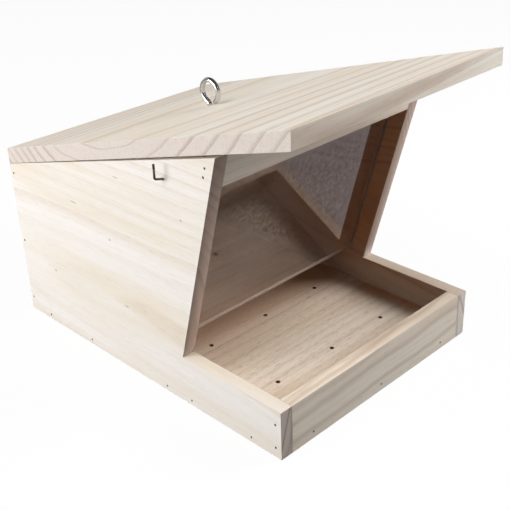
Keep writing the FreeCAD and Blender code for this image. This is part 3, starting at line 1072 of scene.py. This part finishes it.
@dataclass(frozen=True)
class SheetEdge:
    """Sawn edge of the clear sheet, frosted and bright."""

    name: str = "sawn_sheet_edge"
    frost: Tint = Tint(246, 234, 226)
    cut: Tint = Tint(214, 196, 184)
    saw: Noise = Noise(1.3, 0.5, 2.0)
    roughness: float = 0.35
    saw_roughness: float = 0.2
    cover: float = 0.28
    saw_cover: float = 0.14
    rubbed_cover: float = 0.5
    relief_depth: float = 0.1
    relief_strength: float = 0.6

    def material(self) -> bpy.types.Material:
        """Build the edge's shader.

        Returns:
            The material.
        """
        tree = SurfaceTree.start(self.name)
        saw = tree.noise(tree.place(), self.saw)
        rubbed = tree.attribute("rubbed")
        return tree.dress(
            {
                "Base Color": tree.blend(saw, self.frost, self.cut),
                "Roughness": self.roughness + self.saw_roughness * saw,
                "Alpha": self.cover + self.saw_cover * saw + self.rubbed_cover * rubbed,
                "Normal": tree.bump(saw, self.relief_depth, self.relief_strength),
            }
        )


@dataclass(frozen=True)
class Metal:
    """Wire, plate or nail steel with a drawn or rolled surface and some dulling."""

    name: str
    bright: Tint
    dull: Tint
    roughness: float
    spread: float
    metallic: float = 1.0
    dulling: Noise = Noise(0.25, 0.25, 1.0, 4.0, (0.35, 0.7))
    scratch: Noise = Noise(2.5, 2.5, 4.0, 3.0)
    relief_depth: float = 0.02
    relief_strength: float = 0.5

    def material(self) -> bpy.types.Material:
        """Build the metal's shader.

        Returns:
            The material.
        """
        tree = SurfaceTree.start(self.name)
        place = tree.place()
        patch = tree.patch(place, self.dulling)
        scratch = tree.noise(place, self.scratch)
        return tree.dress(
            {
                "Base Color": tree.blend(patch, self.bright, self.dull),
                "Metallic": self.metallic,
                "Roughness": self.roughness + self.spread * patch * scratch,
                "Normal": tree.bump(scratch, self.relief_depth, self.relief_strength),
            }
        )


# The feeder


@dataclass
class Board:
    """One planed board."""

    node: str
    slot: Slot
    finish: Pine
    body: Body = Body.BOX
    edge_ease: float = 0.3

    def build(self) -> None:
        """Copy the solid, ease its edges and dress it."""
        piece = eased(self.node, f"{self.node}_planed", self.edge_ease)
        piece.data.materials.append(self.finish.material())
        settle(piece, self.body, self.slot, self.node)


@dataclass
class Carcass:
    """The nailed box: two sides, floor, back, front rail and top cross rail."""

    boards: tuple[Board, ...] = (
        Board("left_side_panel", Slot.SIDES, Pine(
            "pine_left_side", Grain.DEPTH, (240.0, 65.0), 2.0,
            pale=Tint(238, 232, 225), warm=Tint(232, 221, 204), late=Tint(216, 198, 174),
            end=Tint(188, 164, 148), end_low_lit=Tint(198, 184, 174), end_ring=Tint(138, 114, 100),
            ring_pitch=8.0, ring_contrast=0.42, fine_contrast=0.12, wander=4.0, taper=0.02,
            # inner_shade_share, top_shade_share, shade_spill and shade_share set this side's painted shade.
            streaks=0.3, dashes=0.18, inner_shade_share=0.5, top_shade_share=0.3, shade_spill=60.0, shade_share=0.15,
            end_lines=(EndLine(-1.8, 10.5, 2.2, 0.7), EndLine(10.6, 11.6, 2.0, 0.4)),
            marks=(
                Mark(115.8, 60.2), Mark(24.5, 122.2, 1.2, 1.6), Mark(-69.8, 169.9, 1.0, 1.6),
                Mark(7.0, 182.8, 0.7, 4.0), Mark(10.6, 63.9, 0.9, 3.0), Mark(71.8, 142.1, 0.8, 5.0),
                Mark(-53.0, 198.5, 1.8, 2.2),
            ),
        )),
        Board("right_side_panel", Slot.SIDES, Pine(
            "pine_right_side", Grain.DEPTH, (80.0, 90.0), 17.0,
            pale=Tint(212, 199, 187), warm=Tint(203, 186, 170), late=Tint(200, 165, 132),
            end=Tint(190, 168, 154), end_low_lit=Tint(232, 222, 212), end_ring=Tint(148, 126, 112),
            ring_pitch=4.0, fine_contrast=0.12, wander=9.0, taper=0.03,
            # inner_shade_share, top_shade_share, shade_spill and shade_share set this side's painted shade.
            streaks=0.3, inner_shade_share=0.9, top_shade_share=0.1, shade_spill=60.0, shade_share=0.15,
            end_lines=(EndLine(-8.0, 11.5, 4.0, 0.55), EndLine(10.2, 11.6, 1.6, 0.6)),
            marks=(Mark(60.0, 90.0), Mark(-20.0, 150.0, 1.0, 3.0), Mark(120.0, 40.0)),
        )),
        Board("floor_board", Slot.FLOOR, Pine(
            "pine_floor", Grain.ACROSS, (-240.0, 60.0), 31.0,
            pale=Tint(226, 212, 196), warm=Tint(215, 196, 174), late=Tint(174, 148, 124),
            # silo_shade, shade_spill, shade_share and corner_shade_share set the floor's painted shade.
            silo_shade=Tint(181, 121, 77), dash=Tint(124, 90, 68),
            fibre=Noise(0.012, 0.55, 3.0, 3.0), fleck=Noise(0.13, 1.4, 23.0, 1.0, (0.56, 0.72)),
            ring_pitch=11.0, ring_contrast=0.3, fine_contrast=0.14, late_start=0.3, wander=7.0,
            streaks=0.4, dashes=0.75, shade_spill=60.0, shade_share=0.3, corner_shade_share=0.75,
        )),
        Board("front_rail", Slot.RAILS, Pine(
            "pine_front_rail", Grain.ACROSS, (-160.0, -30.0), 43.0,
            pale=Tint(239, 229, 214), warm=Tint(231, 217, 199), late=Tint(182, 156, 134),
            ring_pitch=18.0, ring_contrast=0.2, fine_contrast=0.1, late_start=0.1, late_stop=0.7,
            wander=8.0, streaks=0.4,
            layers=(
                Streak(25.0, 33.5, 8.0, 0.42), Streak(7.0, 13.5, 6.0, 0.46), Streak(38.0, 45.0, 4.0, 0.25),
                Streak(-167.0, -158.5, 5.0, 0.6, True), Streak(-160.0, -156.5, 5.0, 0.45, True),
            ),
        )),
        Board("top_cross_rail", Slot.RAILS, Pine(
            "pine_cross_rail", Grain.ACROSS, (-60.0, 130.0), 57.0,
            pale=Tint(242, 230, 215), warm=Tint(238, 221, 202), late=Tint(216, 188, 162),
            ring_pitch=7.0, ring_contrast=0.35,
        )),
        Board("back_panel", Slot.RAILS, Pine(
            "pine_back", Grain.ACROSS, (220.0, 76.0), 71.0,
            pale=Tint(230, 217, 200), warm=Tint(222, 203, 180), late=Tint(196, 168, 142),
            ring_pitch=12.0, wander=14.0, taper=0.05, shade_share=0.2,
            marks=(Mark(-40.0, 90.0, 3.0, 3.0), Mark(60.0, 50.0, 2.0, 2.6)),
        )),
    )

    def build(self) -> None:
        """Make and dress the six boards."""
        for board in self.boards:
            board.build()


@dataclass
class Roof:
    """The sloping roof board, and the frame that its fittings are drawn in."""

    pith_reach: float = 151.0
    front_reach: float = 366.0

    def place(self, across: float, reach: float, height: float) -> Vector:
        """A place by millimetres along X, up the slope from the top of the back, and off the underside."""
        turn = Matrix.Rotation(-ROOF_SLOPE, 3, "X")
        return (ROOF_REAR + turn @ Vector((across, -reach, height))) * MM

    def build(self) -> None:
        """Make and dress the roof board."""
        pith = Matrix.Rotation(ROOF_SLOPE, 3, "X") @ self.place(0.0, self.pith_reach, 0.0) / MM
        finish = HeartPine(
            "pine_roof", Grain.ROOF, (pith.y, pith.z), 83.0,
            pale=Tint(240, 234, 224), warm=Tint(236, 225, 209), late=Tint(192, 165, 143),
            end=Tint(219, 208, 199), end_low_lit=Tint(219, 208, 199), end_ring=Tint(163, 138, 124),
            ring_contrast=0.55, fine_contrast=0.24, late_start=0.3, wander=2.5,
            streaks=0.4, dashes=0.2, shade_share=0.0,
            layers=(
                Streak(pith.z - 3.0, pith.z + 9.0, 8.0, 0.42),
                Streak(pith.z + 12.0, pith.z + 17.0, 3.0, 0.45),
                Streak(pith.z + 1.0, pith.z - 26.0, 10.0, 0.45),
            ),
            layer_dip=1.4, layer_front=self.pith_reach - self.front_reach,
        )
        Board("roof_board", Slot.ROOF, finish, Body.ROOF).build()


@dataclass
class Window:
    """The clear pane in its grooves."""

    edge_ease: float = 0.35
    face_turn: float = 0.9

    def build(self) -> None:
        """Copy the pane, with frosted edges and clear faces."""
        piece = eased("window_pane", "window_pane_sheet", self.edge_ease)
        piece.data.materials.append(ClearSheet().material())
        piece.data.materials.append(SheetEdge().material())
        face_on = Vector((0.0, -math.cos(PANE_LEAN), -math.sin(PANE_LEAN)))
        for polygon in piece.data.polygons:
            polygon.material_index = int(abs(polygon.normal.dot(face_on)) < self.face_turn)
        settle(piece, Body.PANE, Slot.PANE, "window_pane")


@dataclass
class HangingWire:
    """The screw eye on the roof and the two square-bend hooks, all bent from wire."""

    roof: Roof
    eye_across: float = -7.0
    eye_reach: float = 164.5
    eye_height: float = 25.7
    eye_wire: float = 4.4
    eye_facets: int = 32
    ring_radius: float = 9.9
    bend_radius: float = 3.0
    shank_offset: float = 4.5
    end_offset: float = 2.4
    shank_foot: float = 2.0
    arc_step: float = math.radians(5)
    arc_least: int = 3
    hook_reach: float = -53.0
    hook_height: float = 198.53
    hook_depth: float = 9.0
    hook_standoff: float = 7.6
    hook_rise: float = 2.2
    hook_leg: float = 12.0
    hook_wire: float = 1.8
    hook_facets: int = 20
    hook_bend: float = 2.0
    hook_bend_steps: int = 8
    tip: Profile = ((0.0, 0.45), (0.08, 0.75), (0.25, 0.94), (0.5, 1.0))

    def build(self) -> None:
        """Bend and dress the wires."""
        tree = self.tree()
        steel = Metal("bright_steel", Tint(222, 222, 224), Tint(188, 187, 188), 0.12, 0.14)
        eye = tree.grow(
            "roof_eye_wire",
            line_mesh("eye_line", [self.tipped(self.eye_path(), self.eye_wire)]),
            {"Bend radius": 0.0, "Bend steps": 1, "Facets": self.eye_facets, "Material": steel.material()},
        )
        settle(eye, Body.ROOF, Slot.EYE, "roof_eye_screw")
        dark = Metal("dark_wire", Tint(112, 104, 96), Tint(72, 64, 57), 0.26, 0.25)
        hooks = tree.grow(
            "side_hook_wires",
            line_mesh("hook_lines", [self.tipped(self.hook_path(side), self.hook_wire) for side in Side]),
            {
                "Bend radius": self.hook_bend * MM,
                "Bend steps": self.hook_bend_steps,
                "Facets": self.hook_facets,
                "Material": dark.material(),
            },
        )
        settle(hooks, Body.BOX, Slot.HOOKS, "left_side_hook", "right_side_hook")

    @staticmethod
    def tree() -> ShapeTree:
        """Write a tree that bends round wire along a line.

        Returns:
            The tree.
        """
        tree = ShapeTree.start("bent_wire")
        bend = tree.take("Bend radius", "Float")
        steps = tree.take("Bend steps", "Int")
        line = tree.add("GeometryNodeMeshToCurve", sockets={"Mesh": tree.carried()})
        rounded = tree.add(
            "GeometryNodeFilletCurve",
            {"mode": "POLY"},
            {"Curve": line, "Count": steps, "Radius": bend, "Limit Radius": True},
        )
        return tree.close(tree.swept(rounded))

    def tipped(self, path: Sequence[Vector], wire: float) -> list[tuple[Vector, float]]:
        """Give a path the wire's radius, with both tips rounded off.

        Args:
            path: points in metres.
            wire: diameter in millimetres.

        Returns:
            The points with their radii.
        """
        radius = wire / 2 * MM
        tips = []
        for end, inner in ((path[0], path[1]), (path[-1], path[-2])):
            way = (inner - end).normalized()
            tips.append([(end + way * (radius * depth), radius * share) for depth, share in self.tip])
        return tips[0] + [(spot, radius) for spot in path[1:-1]] + tips[1][::-1]

    def arc(self, centre: Span, radius: float, start: float, stop: float) -> list[Vector]:
        """Draw an arc in the roof's upright plane.

        Args:
            centre: reach and height of its centre.
            radius: its radius.
            start: first angle, from the way down the slope.
            stop: last angle.

        Returns:
            The points in the feeder's frame.
        """
        count = max(self.arc_least, round(abs(stop - start) / self.arc_step))
        points = []
        for step in range(count + 1):
            turn = start + (stop - start) * step / count
            reach = centre[0] - radius * math.cos(turn)
            points.append(self.roof.place(self.eye_across, reach, centre[1] + radius * math.sin(turn)))
        return points

    def eye_path(self) -> list[Vector]:
        """Draw the eye's wire.

        Returns:
            Its shank, short bend and open ring.
        """
        sideways = self.shank_offset + self.bend_radius
        drop = math.sqrt((self.ring_radius + self.bend_radius) ** 2 - sideways ** 2)
        bend_centre = (self.eye_reach - sideways, self.eye_height - drop)
        joining = math.atan2(-drop, sideways)
        ending = 2 * math.pi - math.acos(-self.end_offset / self.ring_radius)
        foot = self.roof.place(self.eye_across, self.eye_reach - self.shank_offset, self.shank_foot)
        bend = self.arc(bend_centre, self.bend_radius, math.pi, joining + math.pi)
        ring = self.arc((self.eye_reach, self.eye_height), self.ring_radius, joining, ending)
        return [foot] + bend + ring[1:]

    def hook_path(self, side: Side) -> list[Vector]:
        """Draw one hook's wire.

        Args:
            side: the side of the box that it hangs on.

        Returns:
            Its tip in the wood, corner and end.
        """
        drawn = (
            (-self.hook_depth, -self.hook_depth * self.hook_rise / self.hook_standoff),
            (self.hook_standoff, self.hook_rise),
            (self.hook_standoff, self.hook_rise + self.hook_leg),
        )
        return [
            Vector((side.value * (BOX_HALF + out), self.hook_reach, self.hook_height + up)) * MM
            for out, up in drawn
        ]


@dataclass
class Fastenings:
    """Nails of the box and slotted screws of the hinges, with depths and radii along their shapes."""

    nail_profile: Profile = (
        (0.0, 0.66), (0.1, 0.9), (0.24, 1.0), (0.7, 1.0), (1.0, 0.7), (28.0, 0.7), (30.0, 0.06),
    )
    screw_profile: Profile = ((0.0, 2.08), (0.1, 2.18), (0.2, 2.03), (1.2, 1.2), (4.8, 1.2), (6.0, 0.08))
    slot_length: float = 10.0
    slot_width: float = 0.7
    slot_depth: float = 0.55
    end_depth: float = 0.05
    facets: int = 24
    spin_seed: int = 7

    def build(self) -> None:
        """Drive and dress the nails and screws."""
        nails = [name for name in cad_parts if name.endswith("_nails")]
        spots = [spot for name in nails for spot in self.spots(name)]
        # The nail steel is tinted near black: painted shade for the set holes round the heads.
        steel = Metal("nail_steel", Tint(92, 86, 80), Tint(58, 50, 44), 0.4, 0.35, 0.85)
        row = self.row("driven_nails", False, self.nail_profile, spots, steel)
        settle(row, Body.BOX, Slot.NAILS, *nails)
        plate = Metal("screw_steel", Tint(206, 204, 198), Tint(170, 166, 158), 0.28, 0.25, 0.6)
        for body, name in ((Body.BOX, "hinge_body_screws"), (Body.ROOF, "hinge_roof_screws")):
            row = self.row(f"{name}_slotted", True, self.screw_profile, self.spots(name), plate)
            settle(row, body, Slot.HINGES, name)

    def spots(self, node: str) -> list[tuple[Vector, Vector]]:
        """Find the heads of a row.

        Args:
            node: the CAD node.

        Returns:
            The middle of each head, and the way that its shank points.
        """
        found = []
        for points in islands(node):
            _, size = box_of(points)
            axis = Vector([float(part == max(size)) for part in size])
            if node.startswith("hinge"):
                axis = Matrix.Rotation(-ROOF_SLOPE, 3, "X") @ Vector((0.0, 0.0, 1.0))
            reaches = [point.dot(axis) for point in points]
            ends = []
            for end in (min(reaches), max(reaches)):
                near = [abs(reach - end) < self.end_depth * MM for reach in reaches]
                ends.append(box_of([point for point, kept in zip(points, near) if kept]))
            (tip, _), (head, _) = sorted(ends, key=lambda end: end[1].length)
            found.append((head, (tip - head).normalized()))
        return found

    def row(
        self,
        name: str,
        slotted: bool,
        profile: Profile,
        spots: Sequence[tuple[Vector, Vector]],
        finish: Metal,
    ) -> bpy.types.Object:
        """Turn one shape and set it at every spot.

        Args:
            name: the piece's name.
            slotted: whether the head has a driving slot.
            profile: depth and radius along the shape, in millimetres.
            spots: head places and headings.
            finish: the metal.

        Returns:
            The piece.
        """
        run = [(Vector((0, 0, depth)) * MM, radius * MM) for depth, radius in profile]
        pattern = new_object(f"{name}_pattern", line_mesh(f"{name}_profile", [run]))
        values = {
            "Pattern": pattern,
            "Facets": self.facets,
            "Spin seed": self.spin_seed,
            "Slot length": self.slot_length * MM,
            "Slot width": self.slot_width * MM,
            "Slot depth": self.slot_depth * MM,
            "Material": finish.material(),
        }
        piece = self.tree(name, slotted).grow(name, point_mesh(f"{name}_spots", spots), values)
        bpy.data.objects.remove(pattern)
        return piece

    @staticmethod
    def tree(name: str, slotted: bool) -> ShapeTree:
        """Write a tree that turns a profile and sets it at points, each turned by chance about its own axis.

        Args:
            name: the tree's name.
            slotted: whether a slot is cut across the head.

        Returns:
            The tree.
        """
        tree = ShapeTree.start(name)
        pattern = tree.take("Pattern", "Object")
        seed = tree.take("Spin seed", "Int")
        line = tree.add("GeometryNodeObjectInfo", sockets={"Object": pattern}, output="Geometry")
        turned = tree.swept(tree.add("GeometryNodeMeshToCurve", sockets={"Mesh": line}))
        if slotted:
            length, width, depth = [tree.take(f"Slot {way}", "Float") for way in ("length", "width", "depth")]
            size = tree.add("ShaderNodeCombineXYZ", sockets={"X": length, "Y": width, "Z": depth * 2.0})
            bar = tree.add("GeometryNodeMeshCube", sockets={"Size": size})
            turned = tree.add(
                "GeometryNodeMeshBoolean",
                {"operation": "DIFFERENCE", "solver": "EXACT"},
                {"Mesh 1": turned, "Mesh 2": bar},
            )
        chance = tree.add(
            "FunctionNodeRandomValue", {"data_type": "FLOAT"}, {2: 0.0, 3: 2 * math.pi, "Seed": seed}, 1
        )
        spin = tree.add("FunctionNodeAxisAngleToRotation", sockets={"Axis": (0.0, 0.0, 1.0), "Angle": chance})
        heading = tree.stored("heading", "FLOAT_VECTOR")
        turn = tree.add(
            "FunctionNodeAlignRotationToVector", {"axis": "Z"}, {"Rotation": spin, "Vector": heading}
        )
        row = tree.add(
            "GeometryNodeInstanceOnPoints",
            sockets={"Points": tree.carried(), "Instance": turned, "Rotation": turn},
        )
        return tree.close(row)


@dataclass
class Hinges:
    """The two butt hinges, whose solids are shown as they are."""

    plate: Metal = Metal("hinge_plate", Tint(200, 198, 190), Tint(166, 162, 152), 0.3, 0.25, 0.6)

    def build(self) -> None:
        """Dress the leaves and pins."""
        finish = self.plate.material()
        for name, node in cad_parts.items():
            if "_hinge_" in name and not name.endswith("screws"):
                node.data.materials.clear()
                node.data.materials.append(finish)
                LOG.info("%s: plated", name)


# The studio


def stand(holder: bpy.types.Object, azimuth: float, elevation: float, reach: float) -> None:
    """Put something round the feeder, facing it.

    Args:
        holder: the object, which looks along its -Z axis.
        azimuth: degrees to the right of the feeder's front.
        elevation: degrees above the level.
        reach: metres from the feeder's middle.
    """
    turn, rise = math.radians(azimuth), math.radians(elevation)
    way = Vector((math.sin(turn) * math.cos(rise), -math.cos(turn) * math.cos(rise), math.sin(rise)))
    facing = (-way).to_track_quat("-Z", "Y").to_matrix().to_4x4()
    holder.matrix_world = Matrix.Translation(FEEDER_MIDDLE + way * reach) @ facing


@dataclass(frozen=True)
class Lamp:
    """A square softbox that faces the feeder."""

    name: str
    azimuth: float
    elevation: float
    size: float
    power: float
    reach: float = 1.6
    mirrored: bool = False

    def build(self) -> None:
        """Hang the lamp."""
        lamp = bpy.data.lights.new(self.name, "AREA")
        lamp.energy = self.power
        lamp.size = self.size
        holder = new_object(self.name, lamp)
        holder.visible_camera = False
        holder.visible_glossy = self.mirrored
        stand(holder, self.azimuth, self.elevation, self.reach)


@dataclass(frozen=True)
class DarkCard:
    """A dark part of the room, which only shows in bright metal and in gloss."""

    name: str
    azimuth: float
    elevation: float = 20.0
    width: float = 4.0
    height: float = 2.4
    reach: float = 3.2
    cloth: Noise = Noise(0.02, 0.02, 3.0)
    tint: Tint = Tint(104, 101, 98)
    shade: Tint = Tint(58, 56, 54)

    def build(self) -> None:
        """Hang the card."""
        tree = SurfaceTree.start(self.name)
        colour = tree.blend(tree.noise(tree.place(), self.cloth), self.tint, self.shade)
        finish = tree.close(tree.add("ShaderNodeEmission", sockets={"Color": colour, "Strength": 1.0}))
        card = flat_sheet(self.name, self.width, self.height, finish)
        stand(card, self.azimuth, self.elevation, self.reach)
        for ray in ("camera", "diffuse", "transmission", "shadow"):
            setattr(card, f"visible_{ray}", False)
        card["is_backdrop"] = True


@dataclass
class Viewpoint:
    """The camera, as the photograph's lines place it."""

    azimuth: float = math.radians(-45.424)
    elevation: float = math.radians(27.682)
    roll: float = math.radians(-1.464)
    focal: float = 935.715
    axis_across: float = 278.0
    axis_down: float = 250.0
    sensor: float = 36.0
    place: Vector = field(default_factory=lambda: Vector((-512.405, -556.228, 469.273)) * MM)

    def build(self) -> None:
        """Set up the camera."""
        camera = bpy.data.cameras.new("camera")
        camera.sensor_width = self.sensor
        camera.lens = self.focal / PICTURE_WIDTH * self.sensor
        camera.shift_x = (PICTURE_WIDTH / 2 - self.axis_across) / PICTURE_WIDTH
        camera.shift_y = (self.axis_down - PICTURE_WIDTH / 2) / PICTURE_WIDTH
        turns = ((self.azimuth, "Z"), (math.pi / 2 - self.elevation, "X"), (self.roll, "Z"))
        heading, tilt, roll = [Matrix.Rotation(angle, 4, axis) for angle, axis in turns]
        holder = new_object("camera", camera)
        holder.matrix_world = Matrix.Translation(self.place) @ heading @ tilt @ roll
        bpy.context.scene.camera = holder


@dataclass
class Studio:
    """Pale floor, white surroundings, softboxes and camera."""

    floor_span: float = 8.0
    floor_glow: float = 0.95
    mirrored_glow: float = 0.12
    paper: Noise = Noise(0.4, 0.4)
    paper_light: Tint = Tint(238, 237, 236)
    paper_dark: Tint = Tint(232, 231, 230)
    paper_unseen: Tint = Tint(132, 137, 144)
    ambient: float = 0.02
    fittings: tuple[Lamp | DarkCard, ...] = (
        Lamp("left_rear_softbox", 240.0, 9.0, 0.85, 20.2, mirrored=True),
        Lamp("right_front_softbox", 56.0, 28.5, 0.7, 17.2, 1.2),
        Lamp("left_top_softbox", 272.0, 53.0, 0.8, 13.0),
        Lamp("front_fill", 30.0, 8.0, 0.4, 0.7),
        Lamp("rear_softbox", 200.0, 20.0, 0.8, 3.6),
        DarkCard("dark_ceiling", 0.0, 90.0, 6.0, 6.0, 2.6),
        DarkCard("dark_room", -45.0),
        DarkCard("dark_right", 45.0),
        DarkCard("dark_rear", 135.0),
        DarkCard("dark_left", 225.0),
    )

    def build(self) -> None:
        """Set up everything round the feeder."""
        bpy.context.scene.view_settings.view_transform = "Standard"
        self.floor()
        self.surroundings()
        for fitting in self.fittings:
            fitting.build()
        Viewpoint().build()

    @staticmethod
    def seen(tree: NodeTree, mirrored: float = 1.0) -> Wire:
        """1 for rays from the camera or through glass, and a share for rays from a mirror."""
        path = tree.add("ShaderNodeLightPath", output="Is Camera Ray")
        return path.most(path.twin("Is Glossy Ray") * mirrored).most(path.twin("Is Transmission Ray"))

    def floor(self) -> None:
        """A pale floor that shows nearly white and keeps a soft shadow, but throws little light up."""
        tree = SurfaceTree.start("pale_floor")
        pale = tree.blend(tree.noise(tree.place(), self.paper), self.paper_light, self.paper_dark)
        seen = self.seen(tree, self.mirrored_glow)
        colour = tree.blend(seen, self.paper_unseen, pale)
        matt = tree.add("ShaderNodeBsdfDiffuse", sockets={"Color": colour})
        glow = tree.add("ShaderNodeEmission", sockets={"Color": WHITE, "Strength": 1.0})
        mixed = tree.add("ShaderNodeMixShader", sockets={0: seen * self.floor_glow, 1: matt, 2: glow})
        flat_sheet("studio_floor", self.floor_span, self.floor_span, tree.close(mixed))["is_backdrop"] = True

    def surroundings(self) -> None:
        """White to the camera, and a weak even light on the feeder."""
        world = bpy.data.worlds.new("surroundings")
        world.use_nodes = True
        world.node_tree.nodes.clear()
        bpy.context.scene.world = world
        tree = NodeTree(world.node_tree)
        even, white = [
            tree.add("ShaderNodeBackground", sockets={"Color": WHITE, "Strength": strength})
            for strength in (self.ambient, 1.0)
        ]
        mixed = tree.add("ShaderNodeMixShader", sockets={0: self.seen(tree), 1: even, 2: white})
        tree.add("ShaderNodeOutputWorld", sockets={"Surface": mixed})


def note_sizes() -> None:
    """Gather the CAD model's box and the visual model's box as plain lists."""
    boxes = {"cad": CAD_BOX, "visual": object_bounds()}
    plain = {name: [list(corner) for corner in corners] for name, corners in boxes.items()}


def main() -> None:
    """Build the feeder's pieces in order, then the studio."""
    logging.basicConfig(level=logging.INFO, format="%(name)s: %(message)s", force=True)
    roof = Roof()
    for assembly in (Carcass(), Window(), roof, HangingWire(roof), Fastenings(), Hinges(), Studio()):
        assembly.build()
        LOG.info("%s built", type(assembly).__name__)
    note_sizes()


if __name__ == "__main__":
    main()
